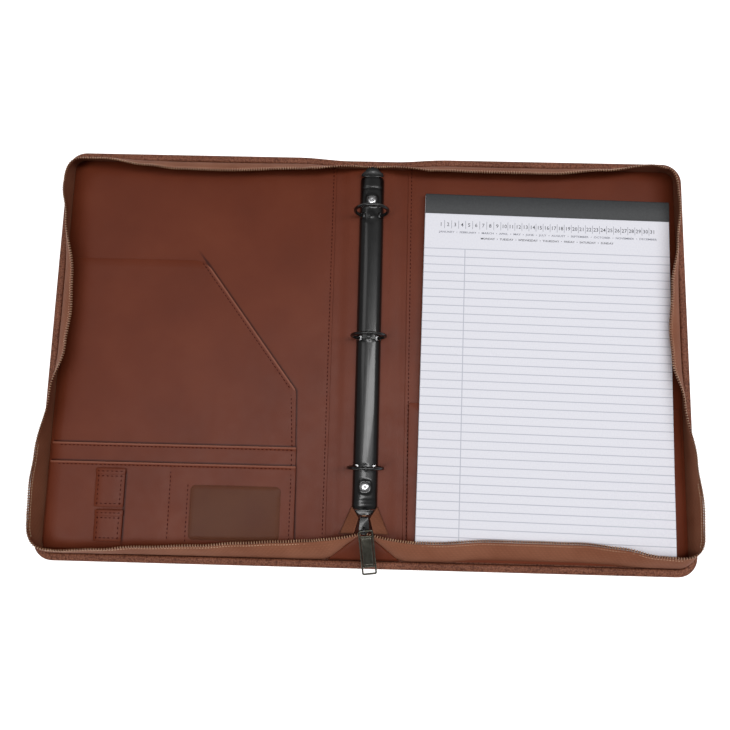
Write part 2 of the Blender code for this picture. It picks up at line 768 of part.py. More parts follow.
def main():
    for old in list(bpy.data.objects):
        bpy.data.objects.remove(old)
    materials = make_materials()
    make_spine(materials)
    make_cover("front", -1, materials)
    make_cover("back", 1, materials)
    make_zip(materials)
    make_slider(materials)
    make_pull(materials)
    make_housing(materials)
    make_rivets(materials)
    make_rails(materials)
    make_rings(materials)
    make_lever("top_lever", HOUSING_Y[1], 1, 7.8 * MM, materials)
    make_lever("bottom_lever", HOUSING_Y[0], -1, 5 * MM, materials)
    make_pockets(materials)
    make_sleeve(materials)
    make_pad(materials)


main()
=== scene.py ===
# %% [markdown]
# # A portfolio case that zips round three sides
#
# The case lies open and flat: a pocket side on the left, a spine with a three-ring mechanism, and a
# writing pad on the right. It is sewn from coated leather over thin foam and board, so nearly every
# piece is a thin panel with a soft edge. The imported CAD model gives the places, and this lesson
# builds what the eye meets: grain, stitches, zip teeth, enamel and paper.

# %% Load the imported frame
import math

import bmesh
import bpy
from mathutils import Matrix, Vector, noise


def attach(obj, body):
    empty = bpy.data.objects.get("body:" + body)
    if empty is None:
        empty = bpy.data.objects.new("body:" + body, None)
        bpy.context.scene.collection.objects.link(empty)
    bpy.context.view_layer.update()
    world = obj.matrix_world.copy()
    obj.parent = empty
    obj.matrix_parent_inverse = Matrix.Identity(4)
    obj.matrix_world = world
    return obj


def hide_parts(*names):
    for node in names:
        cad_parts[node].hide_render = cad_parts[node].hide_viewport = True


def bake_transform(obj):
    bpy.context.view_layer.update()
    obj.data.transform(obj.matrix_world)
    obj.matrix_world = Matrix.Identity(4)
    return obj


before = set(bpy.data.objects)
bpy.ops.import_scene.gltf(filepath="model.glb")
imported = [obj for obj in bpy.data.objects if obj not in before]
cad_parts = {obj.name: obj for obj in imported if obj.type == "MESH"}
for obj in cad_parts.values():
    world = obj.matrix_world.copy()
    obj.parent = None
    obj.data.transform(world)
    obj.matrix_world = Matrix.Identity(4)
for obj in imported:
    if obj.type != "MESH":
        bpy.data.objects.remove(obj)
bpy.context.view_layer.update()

# %% [markdown]
# The camera comes first, because it decides how fine the detail has to be. It looks almost straight
# down from half a metre. There is no cord on this object.

# %% Camera
MM = 0.001

CAMERA_AT = Vector((3.075, -74.705, 515.355))
CAMERA_TURNS = (("Z", 1.3707), ("X", 7.3748), ("Y", 0.4515))

camera_data = bpy.data.cameras.new("camera")
camera_data.lens = 29.886
camera_data.sensor_width = 36
camera = bpy.data.objects.new("camera", camera_data)
pose = Matrix.Translation(CAMERA_AT * MM)
for axis, degrees in CAMERA_TURNS:
    pose = pose @ Matrix.Rotation(math.radians(degrees), 4, axis)
camera.matrix_world = pose
bpy.context.scene.collection.objects.link(camera)
bpy.context.scene.camera = camera
print("camera height in mm:", round(camera.location.z / MM))

# %% [markdown]
# Two small functions serve every material. One turns a paint-chart hex value into the linear colour
# that Blender works in. The other adds a node, sets its properties, and fills or links its inputs.

# %% Colour and node helpers
def linear(chip, alpha=1.0):
    """An sRGB hex value as linear red, green, blue and alpha."""
    channels = [int(chip[i : i + 2], 16) / 255 for i in (1, 3, 5)]
    return [c / 12.92 if c <= 0.04045 else ((c + 0.055) / 1.055) ** 2.4 for c in channels] + [alpha]


def add(tree, kind, inputs=None, **settings):
    """Adds a node. An input is given by name or number, as a value or as the socket to link from."""
    made = tree.nodes.new(kind)
    for name, value in settings.items():
        setattr(made, name, value)
    for name, value in (inputs or {}).items():
        if isinstance(value, bpy.types.NodeSocket):
            tree.links.new(value, made.inputs[name])
        else:
            made.inputs[name].default_value = value
    return made


print("brown as linear:", [round(c, 3) for c in linear("#6b3828")])

# %% [markdown]
# A few more wrap the nodes that nearly every finish needs: noise in the object's own coordinates, a
# colour ramp, a mapped value, a sum, a mix and a bump. `surface` puts the shader at the end. Sizes are
# in millimetres.

# %% Helpers for finishes
def new_material(name):
    made = bpy.data.materials.new(name)
    made.use_nodes = True
    made.node_tree.nodes.clear()
    return made, made.node_tree


def object_place(tree):
    return add(tree, "ShaderNodeTexCoord").outputs["Object"]


def spots(tree, size, detail=4.0, socket="Fac", **extra):
    """Noise with spots of the given size."""
    inputs = {"Vector": object_place(tree), "Scale": 1 / (size * MM), "Detail": detail, **extra}
    return add(tree, "ShaderNodeTexNoise", inputs).outputs[socket]


def ramp(tree, value, *points):
    """A colour ramp over a value, from (place, hex) pairs."""
    made = add(tree, "ShaderNodeValToRGB", {"Fac": value})
    elements = made.color_ramp.elements
    while len(elements) < len(points):
        elements.new(0.5)
    for element, (where, chip) in zip(elements, points):
        element.position = where
        element.color = linear(chip)
    return made.outputs["Color"]


def spread(tree, value, low, high, top=1.0):
    """A value between 0 and top, mapped to between low and high."""
    inputs = {"Value": value, "From Max": top, "To Min": low, "To Max": high}
    return add(tree, "ShaderNodeMapRange", inputs).outputs[0]


def maths(tree, operation, *values):
    return add(tree, "ShaderNodeMath", dict(enumerate(values)), operation=operation).outputs[0]


def mixed(tree, amount, first, second, blend="MIX"):
    inputs = {0: amount, 6: first, 7: second}
    return add(tree, "ShaderNodeMix", inputs, data_type="RGBA", blend_type=blend).outputs[2]


def bumped(tree, height, strength, distance, invert=False, **more):
    inputs = {"Height": height, "Strength": strength, "Distance": distance * MM, **more}
    return add(tree, "ShaderNodeBump", inputs, invert=invert).outputs[0]


def surface(tree, colour, roughness, *normal, **uniform):
    """The shader. uniform names sockets set to one value, with an underscore for each space."""
    inputs = {"Base Color": colour, "Roughness": roughness, **{"Normal": socket for socket in normal}}
    inputs.update({name.replace("_", " "): value for name, value in uniform.items()})
    shader = add(tree, "ShaderNodeBsdfPrincipled", inputs)
    add(tree, "ShaderNodeOutputMaterial", {"Surface": shader.outputs[0]})


# %% [markdown]
# The outside is PU leather: a fabric coated with polyurethane and pressed with a pebble grain. Each
# pebble is a little dome, and the colour is darker in the valleys between them. A Voronoi texture gives the cells.

# %% Pebbled leather
PEBBLE = 1.25
LEATHER_SHEEN = 0.22


def make_pebbled_leather():
    made, tree = new_material("pebbled_pu_leather")
    wander = {0: spots(tree, 3, 2.0, socket="Color"), "Scale": 0.9 * MM}
    shift = add(tree, "ShaderNodeVectorMath", wander, operation="SCALE").outputs[0]
    bent = add(tree, "ShaderNodeVectorMath", {0: object_place(tree), 1: shift}, operation="ADD").outputs[0]
    inputs = {"Vector": bent, "Scale": 1 / (PEBBLE * MM), "Smoothness": 0.3}
    pebbles = add(tree, "ShaderNodeTexVoronoi", inputs, feature="SMOOTH_F1").outputs["Distance"]
    dye = ramp(tree, pebbles, (0.1, "#94624b"), (0.45, "#82503c"), (0.85, "#5a3426"))
    wear_and_highlight = ramp(tree, spots(tree, 45, 3.0), (0.35, "#e6e0dc"), (0.65, "#ffffff"))
    gloss = spread(tree, pebbles, 0.42, 0.7, top=0.8)
    domes = bumped(tree, pebbles, 0.6, 0.25, invert=True)
    surface(tree, mixed(tree, 1.0, dye, wear_and_highlight, "MULTIPLY"), gloss, domes, Specular_IOR_Level=LEATHER_SHEEN)
    return made


pebbled_leather = make_pebbled_leather()
print(pebbled_leather.name, "has", len(pebbled_leather.node_tree.nodes), "nodes")

# %% [markdown]
# The lining and pockets are the same coated leather with a smooth, satin face. It has only a fine
# hair-cell grain, soft clouds of dye a few centimetres wide, and a broad highlight. Two attributes of
# the mesh tint it: a painted highlight, lighter, along the turned edge of each open mouth, and a painted
# shadow, darker, beside the edge of each piece that lies over the panel.

# %% Smooth leather
def make_smooth_leather():
    made, tree = new_material("smooth_pu_leather")
    clouds = spots(tree, 60, 3.0, Roughness=0.55)
    colour = ramp(tree, clouds, (0.3, "#622b18"), (0.5, "#672e1a"), (0.72, "#6d331e"))
    # First a painted highlight on turned mouth edges, then a painted shadow beside the edges of pieces lying over the
    # panel.
    for tint, chip in (("wear_and_highlight", "#864f3c"), ("painted_shade", "#3e160b")):
        amount = add(tree, "ShaderNodeAttribute", attribute_name=tint).outputs["Fac"]
        colour = mixed(tree, amount, colour, linear(chip))
    inputs = {"Vector": object_place(tree), "Scale": 1 / (0.8 * MM)}
    grain = add(tree, "ShaderNodeTexVoronoi", inputs).outputs["Distance"]
    creases = spots(tree, 9)
    soft = bumped(tree, creases, 0.25, 0.5, Normal=bumped(tree, grain, 0.18, 0.1))
    surface(tree, colour, spread(tree, creases, 0.36, 0.56), soft, Specular_IOR_Level=LEATHER_SHEEN)
    return made


smooth_leather = make_smooth_leather()
print(smooth_leather.name, "has", len(smooth_leather.node_tree.nodes), "nodes")

# %% [markdown]
# Zip tape is woven polyester: a fine herringbone whose ribs run along the tape. The pattern follows
# the tape's own UV map, which counts millimetres along and across it, so it turns the corners with
# the tape. Real ribs are 0.5 mm apart. These are 1.6 mm apart, so that they show a little.

# %% Woven tape and moulded coil
UV_SIZE = 100  # millimetres for one unit of a UV map
WEAVE = (("Y", 19.9045, {"Distortion": 0.4, "Detail": 1.0}), ("DIAGONAL", 17.6929, {}))


def make_woven_tape():
    made, tree = new_material("woven_polyester_tape")
    where = add(tree, "ShaderNodeUVMap", uv_map="UVMap").outputs[0]
    waves = [
        add(tree, "ShaderNodeTexWave", {"Vector": where, "Scale": scale, **extra}, bands_direction=direction)
        for direction, scale, extra in WEAVE
    ]
    weave = maths(tree, "MULTIPLY", *(wave.outputs["Fac"] for wave in waves))
    yarn = ramp(tree, spots(tree, 25, 3.0), (0.3, "#855039"), (0.7, "#935e46"))
    colour = mixed(tree, 1.0, yarn, spread(tree, weave, 0.86, 1.0), "MULTIPLY")
    surface(tree, colour, 0.75, bumped(tree, weave, 0.5, 0.15), Specular_IOR_Level=0.2)
    return made


def make_nylon_coil():
    """Moulded nylon monofilament: a dull plastic gloss, a little lighter where it is rubbed."""
    made, tree = new_material("moulded_nylon_coil")
    dye = ramp(tree, spots(tree, 12, 2.0), (0.35, "#8f684c"), (0.65, "#ae8566"))
    surface(tree, dye, 0.38, IOR=1.53)
    return made


woven_tape = make_woven_tape()
nylon_coil = make_nylon_coil()
print(woven_tape.name, "and", nylon_coil.name, "made")

# %% [markdown]
# The metals are three. The ring mechanism is steel under thick black enamel, with a mirror-like
# coat. The rivets are nickel plate. The pull is die-cast zinc plated gunmetal, a dark olive grey with
# a satin brush. Metals keep the default IOR.

# %% Enamel, nickel and gunmetal
def make_metal(name, dark, light, gloss, metallic, mottle, coat=0.0):
    made, tree = new_material(name)
    rub = spots(tree, mottle)
    surface(
        tree, ramp(tree, rub, (0.3, dark), (0.7, light)), spread(tree, rub, *gloss), bumped(tree, rub, 0.12, 0.05),
        Metallic=metallic, Coat_Weight=coat, Coat_Roughness=0.08,
    )
    return made


enamelled_steel = make_metal("black_enamelled_steel", "#040405", "#090909", (0.26, 0.36), 0.0, 6, coat=0.4)
nickel_plate = make_metal("nickel_plated_steel", "#b4b4b6", "#cfcfd0", (0.24, 0.36), 1.0, 2)
gunmetal_zinc = make_metal("gunmetal_plated_zinc", "#5b5950", "#6c6a60", (0.3, 0.42), 1.0, 3)
gunmetal_bezel = make_metal("gunmetal_plated_bezel", "#6f6d64", "#838076", (0.25, 0.36), 1.0, 3)

# %% [markdown]
# Writing paper is matt and faintly blue-white. Its feint rules and margin are printed, so they are
# thin lines drawn from the sheet's own UV map in millimetres: a rule every 7.1 mm below the heading,
# and one margin 35 mm from the left edge.

# %% Ruled paper, page edges, binding tape, board and the rest
HEADING = 31.0
RULE_PITCH = 7.1
RULE_WIDTH = 0.75
MARGIN = 35.0


def make_ruled_paper():
    made, tree = new_material("ruled_writing_paper")
    where = add(tree, "ShaderNodeUVMap", uv_map="UVMap").outputs[0]
    split = add(tree, "ShaderNodeSeparateXYZ", {0: where}).outputs
    down = maths(tree, "MULTIPLY_ADD", split["Y"], UV_SIZE, -HEADING)
    phase = maths(tree, "FRACT", maths(tree, "DIVIDE", down, RULE_PITCH))
    rule = maths(tree, "LESS_THAN", phase, RULE_WIDTH / RULE_PITCH)
    margin = maths(tree, "COMPARE", maths(tree, "MULTIPLY", split["X"], UV_SIZE), MARGIN, RULE_WIDTH / 2)
    line = maths(tree, "MAXIMUM", rule, margin)
    printed = maths(tree, "MULTIPLY", line, maths(tree, "GREATER_THAN", down, 0.0))
    fibres = spots(tree, 1.2, 5.0)
    white = ramp(tree, fibres, (0.3, "#e9e9f2"), (0.7, "#f1f1f8"))
    surface(tree, mixed(tree, printed, white, linear("#c3c5d0")), 0.88, bumped(tree, fibres, 0.1, 0.05))
    return made


def make_plain(name, dark, light, size, roughness, bump=0.3, **uniform):
    """A material whose tone drifts a little between two colours over spots of the given size."""
    made, tree = new_material(name)
    drift = spots(tree, size)
    tone = ramp(tree, drift, (0.3, dark), (0.7, light))
    surface(tree, tone, roughness, bumped(tree, drift, bump, 0.1), **uniform)
    return made


def make_page_edges():
    """The cut side of a block of sheets: fine level lines, one for every few sheets."""
    made, tree = new_material("cut_page_edges")
    inputs = {"Vector": object_place(tree), "Scale": (8.0, 8.0, 1 / (0.3 * MM))}
    stretch = add(tree, "ShaderNodeMapping", inputs).outputs[0]
    leaves = add(tree, "ShaderNodeTexNoise", {"Vector": stretch, "Scale": 1.0, "Detail": 3.0}).outputs["Fac"]
    tone = ramp(tree, leaves, (0.35, "#c9c9d2"), (0.6, "#ececf3"))
    surface(tree, tone, 0.9, bumped(tree, leaves, 0.4, 0.1))
    return made


ruled_paper = make_ruled_paper()
page_edges = make_page_edges()
printing_ink = make_plain("grey_printing_ink", "#3c3d46", "#484952", 4, 0.7)
faint_ink = make_plain("pale_printing_ink", "#777985", "#858692", 4, 0.7)
binding_tape = make_plain("black_paper_binding_tape", "#2b2d2f", "#353739", 1.2, 0.55, bump=0.5)
greyboard = make_plain("greyboard", "#8c8578", "#a39b8c", 2, 0.92)
foam = make_plain("polyethylene_foam", "#b7b2a4", "#cac6b8", 1.5, 0.95, bump=0.6)
sewing_thread = make_plain("polyester_sewing_thread", "#3a120c", "#4a1a12", 1, 0.85, Specular_IOR_Level=0.1)
zip_thread = make_plain("beige_sewing_thread", "#bf9d80", "#d0ae90", 1, 0.75, Specular_IOR_Level=0.2)
clear_film = make_plain(
    "clear_pvc_film", "#6a3c28", "#74472f", 30, 0.3, bump=0.05, Alpha=0.42, Specular_IOR_Level=0.12
)
print("paper, ink, tape, board, foam, thread and film made")

# %% [markdown]
# All shapes below are worked out in millimetres and scaled to metres when the mesh is made. A few
# helpers are enough for the whole case: a loft joins matching rings of points, a soft slab is a panel
# with rounded edges, and `place` gives a finished piece its body and hides the CAD nodes it covers.

# %% Mesh helpers
def ease(t):
    """0 to 1 with level ends."""
    t = min(max(t, 0.0), 1.0)
    return t * t * (3 - 2 * t)


def make_piece(shape, name, material, crease_angle=40, turn_out=True):
    """Scales a bmesh from millimetres and makes it a smooth-shaded object at the origin."""
    bmesh.ops.scale(shape, vec=(MM, MM, MM), verts=shape.verts)
    if turn_out:
        bmesh.ops.recalc_face_normals(shape, faces=shape.faces)
    mesh = bpy.data.meshes.new(name)
    shape.to_mesh(mesh)
    shape.free()
    mesh.shade_smooth()
    mesh.set_sharp_from_angle(angle=math.radians(crease_angle))
    made = bpy.data.objects.new(name, mesh)
    bpy.context.scene.collection.objects.link(made)
    mesh.materials.append(material)
    return made


def bake_modifiers(piece):
    """Turns what the modifiers make into the piece's own mesh."""
    graph = bpy.context.evaluated_depsgraph_get()
    mesh = bpy.data.meshes.new_from_object(piece.evaluated_get(graph))
    piece.modifiers.clear()
    piece.data = mesh
    mesh.name = piece.name
    return piece


def thickened(piece, thickness):
    """Gives an open sheet its thickness, on the inner side."""
    wall = piece.modifiers.new("thickness", "SOLIDIFY")
    wall.thickness = thickness * MM
    wall.offset = -1
    return piece


def place(piece, body, slot, *nodes, to=None, start=0.0, end=0.0):
    """Rides a piece on a body and hides the CAD nodes it covers. With to, it only bakes the piece's transform into
    its mesh; start and end are not used.
    """
    if to:
        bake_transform(piece)
    else:
        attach(piece, body)
    if nodes:
        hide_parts(*nodes)
    print(piece.name, "has", len(piece.data.polygons), "faces")
    return piece


def settle(shape, name, material, body, slot, *nodes, crease=40, **bend):
    """Makes a piece from a bmesh and places it."""
    return place(make_piece(shape, name, material, crease_angle=crease), body, slot, *nodes, **bend)


def loft(shape, rings, caps=True, joined=False):
    """Joins rings of points with quads. joined also joins the last ring to the first."""
    made = [[shape.verts.new(p) for p in ring] for ring in rings]
    pairs = list(zip(made, made[1:])) + ([(made[-1], made[0])] if joined else [])
    for ring, following in pairs:
        for i in range(len(ring)):
            j = (i + 1) % len(ring)
            shape.faces.new((ring[i], ring[j], following[j], following[i]))
    if caps and not joined:
        shape.faces.new(made[0])
        shape.faces.new(made[-1])
    return made


def rounded(corners, steps=6):
    """An outline through (x, y, radius) corners, each turned into an arc."""
    outline = []
    for i, (x, y, radius) in enumerate(corners):
        here = Vector((x, y))
        if not radius:
            outline.append(here)
            continue
        back = (Vector(corners[i - 1][:2]) - here).normalized()
        ahead = (Vector(corners[(i + 1) % len(corners)][:2]) - here).normalized()
        half = back.angle(ahead) / 2
        centre = here + (back + ahead).normalized() * radius / math.sin(half)
        arm = here + back * radius / math.tan(half) - centre
        turn = math.copysign(math.pi - 2 * half, -back.cross(ahead))
        outline += [centre + Matrix.Rotation(turn * k / steps, 2) @ arm for k in range(steps + 1)]
    return outline


def box_outline(x0, x1, y0, y1, radius=0.5):
    return rounded([(x0, y0, radius), (x1, y0, radius), (x1, y1, radius), (x0, y1, radius)])


def shrunk(outline, inset):
    """The outline moved inwards. It runs anticlockwise."""
    made = []
    for i, here in enumerate(outline):
        back = (here - outline[i - 1]).normalized()
        ahead = (outline[(i + 1) % len(outline)] - here).normalized()
        inward = (back + ahead).orthogonal().normalized()
        stretch = max(inward.dot(back.orthogonal()), 0.5)
        made.append(here + inward * inset / stretch)
    return made


def anticlockwise(outline):
    area = sum(a.cross(b) for a, b in zip(outline, outline[1:] + outline[:1]))
    return outline if area > 0 else outline[::-1]


def soft_slab(shape, outline, low, high, edge=0.25):
    """A flat piece from low to high whose upper and lower edges are rounded over."""
    outline = anticlockwise([Vector(p[:2]) for p in outline])
    rings = []
    for inset, z in (
        (edge, low), (0.3 * edge, low + 0.3 * edge), (0, low + edge),
        (0, high - edge), (0.3 * edge, high - 0.3 * edge), (edge, high),
    ):
        rings.append([(p.x, p.y, z) for p in shrunk(outline, inset)])
    return loft(shape, rings)


def slice_at(shape, point, normal, keep=None):
    """Cuts new edges where a plane crosses, and with keep=1 or -1 drops the other side and caps it."""
    cut = bmesh.ops.bisect_plane(
        shape, geom=shape.verts[:] + shape.edges[:] + shape.faces[:], dist=1e-5,
        plane_co=point, plane_no=normal, clear_inner=keep == 1, clear_outer=keep == -1,
    )
    if keep:
        edges = [part for part in cut["geom_cut"] if isinstance(part, bmesh.types.BMEdge)]
        bmesh.ops.holes_fill(shape, edges=edges, sides=0)


def span(start, end, step):
    """Evenly spaced values from start to end, about one step apart."""
    count = max(1, round(abs(end - start) / step))
    return [start + (end - start) * k / count for k in range(count + 1)]


def grid_cuts(shape, xs, ys):
    for x in xs:
        slice_at(shape, (x, 0, 0), (1, 0, 0))
    for y in ys:
        slice_at(shape, (0, y, 0), (0, 1, 0))


def net(shape, grid):
    """Joins rows of vertices with quads that face up."""
    faces = []
    for low, high in zip(grid, grid[1:]):
        for j in range(len(low) - 1):
            polygon = shape.faces.new((low[j], low[j + 1], high[j + 1], high[j]))
            polygon.normal_update()
            if polygon.normal.z < 0:
                polygon.normal_flip()
            faces.append(polygon)
    return faces


print("helpers ready; ease(0.25) =", ease(0.25))

# %% [markdown]
# The outer skin is one leather panel whose edge is turned over a stiff core, so the rim reads as a
# rounded cord that stands a little above the lining. One profile, swept round the outline of the open
# case, makes the foot, the sewn groove beneath, the round edge and the trough that holds the zip tape.
# The outline draws in a little at the head of the spine. The sweep is then cut where the covers fold.

# %% Outline of the open case
HALF_WIDTH, HALF_LENGTH, CORNER = 272.0, 176.5, 17.0
WAIST = 2.5
FOLD_INNER, FOLD_OUTER = 20.0, 32.0
SIDES = ((-1, "front"), (1, "back"))


def waist(x):
    """How far the head of the case draws in by the spine."""
    return WAIST * (1 - ease((abs(x) - FOLD_INNER) / 45))


def rim_stations():
    """(edge point, outward direction) from the foot of the spine, round the right cover, to its head."""
    bend = HALF_WIDTH - CORNER
    reach = HALF_LENGTH - CORNER
    xs = span(0, FOLD_INNER, 5) + span(FOLD_INNER, FOLD_OUTER, 2)[1:] + span(FOLD_OUTER, bend, 8)[1:]
    foot = [(Vector((x, -HALF_LENGTH)), Vector((0, -1))) for x in xs]
    corner = []
    for k in range(1, 12):
        angle = math.pi / 2 * (k / 12 - 1)
        out = Vector((math.cos(angle), math.sin(angle)))
        corner.append((Vector((bend, -reach)) + out * CORNER, out))
    side = [(Vector((HALF_WIDTH, y)), Vector((1, 0))) for y in span(-reach, 0, 8)]
    lower = foot + corner + side
    upper = [(Vector((p.x, -p.y - waist(p.x))), Vector((out.x, -out.y))) for p, out in reversed(lower[:-1])]
    return lower + upper


def case_outline(inset):
    """The closed outline of the whole case, moved in by inset."""
    right = [point - out * inset for point, out in rim_stations()]
    left = [Vector((-p.x, p.y)) for p in reversed(right[1:-1])]
    return right + left


def bending(side, start=FOLD_INNER, end=FOLD_OUTER):
    """The keyword arguments `place` takes for a piece that spans the spine and the cover on one side."""
    return {"to": "front_cover" if side < 0 else "back_cover", "start": side * start, "end": side * end}


print("rim stations on one cover:", len(rim_stations()))

# %% Outer skin in three pieces
RIM_PROFILE = (
    (13, 0), (6.4, 0), (5.7, 0.3), (5.2, 0.38), (4.7, 0.3), (4.0, 0.02), (2.6, 0.08), (1.1, 0.6), (0.3, 1.7),
    (0, 3.1), (0.35, 4.6), (1.3, 5.7), (2.9, 6.25), (4.6, 6.2), (5.7, 5.8), (6.2, 5.1), (6.35, 4.2),
    (6.35, 1.0), (13, 1.0),
)
FOLD_CUTS = (22, 24, 26, 28, 30, 32)


def skin_part(name, low, high):
    """The part of the outer skin between two places along X."""
    shape = bmesh.new()
    loft(shape, [[(p.x, p.y, z) for p in case_outline(inset)] for inset, z in RIM_PROFILE])
    for x in FOLD_CUTS:
        for side in (-1, 1):
            slice_at(shape, (side * x, 0, 0), (1, 0, 0))
    if low is not None:
        slice_at(shape, (low, 0, 0), (1, 0, 0), keep=1)
    if high is not None:
        slice_at(shape, (high, 0, 0), (1, 0, 0), keep=-1)
    return make_piece(shape, name, pebbled_leather, crease_angle=50)


spine_skin = skin_part("spine_outer_skin", -FOLD_INNER, FOLD_INNER)
place(spine_skin, "spine", "grained_leather", "spine_skin")
front_skin = skin_part("front_outer_skin", None, -FOLD_INNER)
place(front_skin, "spine", "grained_leather", "front_skin", **bending(-1))
back_skin = skin_part("back_outer_skin", FOLD_INNER, None)
place(back_skin, "spine", "grained_leather", "back_skin", **bending(1))

# %% [markdown]
# Linings and pockets are thin soft panels. Each starts as a soft slab, is cut into a grid so that it
# can bend, and then takes the same gentle relief as the layer under it, so layers never cross. Along
# each sewn line the needle pulls the leather down, and an open pocket edge stands up a little.

# %% Soft panels
LINING_TOP, POCKET_TOP, UPPER_TOP, LOWER_TOP, LOOP_BASE = 5.1, 6.0, 6.9, 7.8, 8.1
STITCH_DIP = 0.22


def relief(x, y):
    """The slow swell of leather over foam, in millimetres."""
    return 0.28 * noise.noise(Vector((x / 55, y / 70, 0.5))) + 0.06 * noise.noise(Vector((x / 17, y / 23, 3.5)))


def swollen(shape, share=1.0):
    """Gives every point of a flat panel its share of the relief."""
    for vert in shape.verts:
        vert.co.z += share * relief(vert.co.x, vert.co.y)


def along(point, line):
    """How far a point is from a line's direction, and whether it lies beside its length."""
    start, end = Vector(line[0]), Vector(line[1])
    run = (end - start).normalized()
    arm = Vector(point[:2]) - start
    return abs(arm.cross(run)), -0.5 < arm.dot(run) < (end - start).length + 0.5


def mouth_rise(distance, lift):
    return lift * math.exp(-distance / 4)


SEAM_CUTS = (-1.7, 0, 1.7)
MOUTH_CUTS = (-2.0, -1.0, 1.0, 2.0)
# Slices that let the painted shadow fade out across an overlying edge.
SHADE_CUTS = (-1.9, -1.1, -0.4, 0.4, 1.1, 1.9)


def soft_panel(name, outline, layer, seams=(), mouth=None, shade_lines=(), lift=0.5, step=9, edge=0.28):
    """A sewn panel. seams are sewn lines, and mouth is the open edge that stands up by lift and takes a
    painted highlight. The third list holds the edges of the pieces that lie over this one, beside which this panel
    gets a painted shadow."""
    shape = bmesh.new()
    soft_slab(shape, outline, *layer, edge=edge)
    xs, ys = [p[0] for p in outline], [p[1] for p in outline]
    grid_cuts(shape, span(min(xs), max(xs), step)[1:-1], span(min(ys), max(ys), step)[1:-1])
    mouths = [mouth] if mouth else []
    for lines, cuts in ((seams, SEAM_CUTS), (shade_lines, SHADE_CUTS), (mouths, MOUTH_CUTS)):
        for start, end in lines:
            run = (Vector(end) - Vector(start)).normalized()
            across = Vector((-run.y, run.x))
            for shift in cuts:
                slice_at(shape, (*(Vector(start) + across * shift), 0), (*across, 0))
    wear_and_highlight = shape.verts.layers.float.new("wear_and_highlight")
    painted_shade = shape.verts.layers.float.new("painted_shade")
    middle = (layer[0] + layer[1]) / 2
    for vert in shape.verts:
        z = vert.co.z
        rise = relief(vert.co.x, vert.co.y)
        for line in mouths:
            distance, beside = along(vert.co, line)
            if beside:
                rise += mouth_rise(distance, lift)
                # Painted highlight along the turned edge of the mouth.
                vert[wear_and_highlight] = ease((2.0 - distance) / 1.2)
        for line in shade_lines:
            distance, beside = along(vert.co, line)
            if beside:
                # Painted shadow beside the edge of a piece that lies over this panel.
                vert[painted_shade] = max(vert[painted_shade], ease((1.9 - distance) / 1.4))
        if z > middle:
            for line in seams:
                distance, beside = along(vert.co, line)
                if distance < 0.3 and beside:
                    rise -= STITCH_DIP
        vert.co.z = z + rise
    return make_piece(shape, name, smooth_leather, crease_angle=60)


print("relief at the middle of the left cover:", round(relief(-150, 0), 3), "mm")

# %% [markdown]
# Each cover's lining ends at the spine in a folded hem with one sewn row. The spine's own lining runs
# under both hems, and it is made in two halves that meet under the rings.

# %% Linings
LINING_INSET = 7.8
HEM_STITCH = {-1: -34.2, 1: 34.6}
POCKET_LEFT, POCKET_FOOT = -261.5, -165.5
POCKET_MOUTH = ((-60, -32), (-143, 79.5))
POCKET_SIDE = ((-57, POCKET_FOOT), (-60, -32))
PEN_LOOPS = {"upper": (-222.5, -198.2, -131.6, -100.0), "lower": (-221.0, -198.0, -159.0, -133.7)}


def half_outline(start, inset, end=None):
    """The right cover's outline from x = start, moved in by inset."""
    points = [p - out * inset for p, out in rim_stations()]
    points = [p for p in points if p.x > start + 0.5 and (end is None or p.x < end - 0.5)]
    reach = HALF_LENGTH - inset
    first = Vector((start, -reach))
    last = Vector((start, reach - waist(start)))
    if end is None:
        return [first] + points + [last]
    lower = [p for p in points if p.y < 0]
    upper = [p for p in points if p.y > 0]
    return [first] + lower + [Vector((end, -reach)), Vector((end, reach - waist(end)))] + upper + [last]


for side, prefix in SIDES:
    outline = [Vector((side * p.x, p.y)) for p in half_outline(31.6, LINING_INSET)]
    stitch = HEM_STITCH[side]
    # On the left, the lining gets a painted shadow beside the pocket's mouth and side.
    lining = soft_panel(
        prefix + "_smooth_lining", outline, (4.45, LINING_TOP), seams=[((stitch, -168), (stitch, 168))],
        shade_lines=[POCKET_MOUTH, POCKET_SIDE] if side < 0 else [], step=10, edge=0.3,
    )
    place(lining, prefix + "_cover", "smooth_leather", prefix + "_lining")

    outline = [Vector((side * p.x, p.y)) for p in half_outline(0, LINING_INSET, 36)]
    strip = bmesh.new()
    soft_slab(strip, outline, 3.55, 4.35, edge=0.1)
    grid_cuts(strip, [side * x for x in range(2, 36, 2)], range(-160, 161, 10))
    for vert in strip.verts:
        x = abs(vert.co.x)
        crown = 0.75 * ease((24 - x) / 5)
        vert.co.z += crown - 0.35 * math.exp(-(((x - 26.5) / 2.2) ** 2))
    nodes = ["spine_lining"] if side < 0 else []
    settle(strip, prefix + "_hinge_lining", smooth_leather, "spine", "smooth_leather", *nodes, **bending(side))

# %% [markdown]
# Left cover: a document pocket with a slanting mouth, two card strips one over the other, an identity
# window, and two loops for pens. The strips overlap like tiles; each mouth has a painted highlight
# along its turned edge and a painted shadow on the panel just above it.

# %% Document pocket and card strips
POCKET_CORNERS = (
    (POCKET_LEFT, POCKET_FOOT, 6), (-57, POCKET_FOOT, 1), (-60, -32, 9), (-143, 79.5, 22),
    (POCKET_LEFT, 79.5, 0),
)
UPPER_MOUTH, LOWER_MOUTH = -79.5, -95.0
UPPER_LINE = ((POCKET_LEFT, UPPER_MOUTH), (-58, UPPER_MOUTH))
LOWER_LINE = ((POCKET_LEFT, LOWER_MOUTH), (-57.5, LOWER_MOUTH))
POCKET_LIFT, STRIP_LIFT = 0.7, 1.0
SLANT_SEAM = ((-66.4, -29.0), (-144.6, 76.0))
MOUTH_SEAM = 2.4

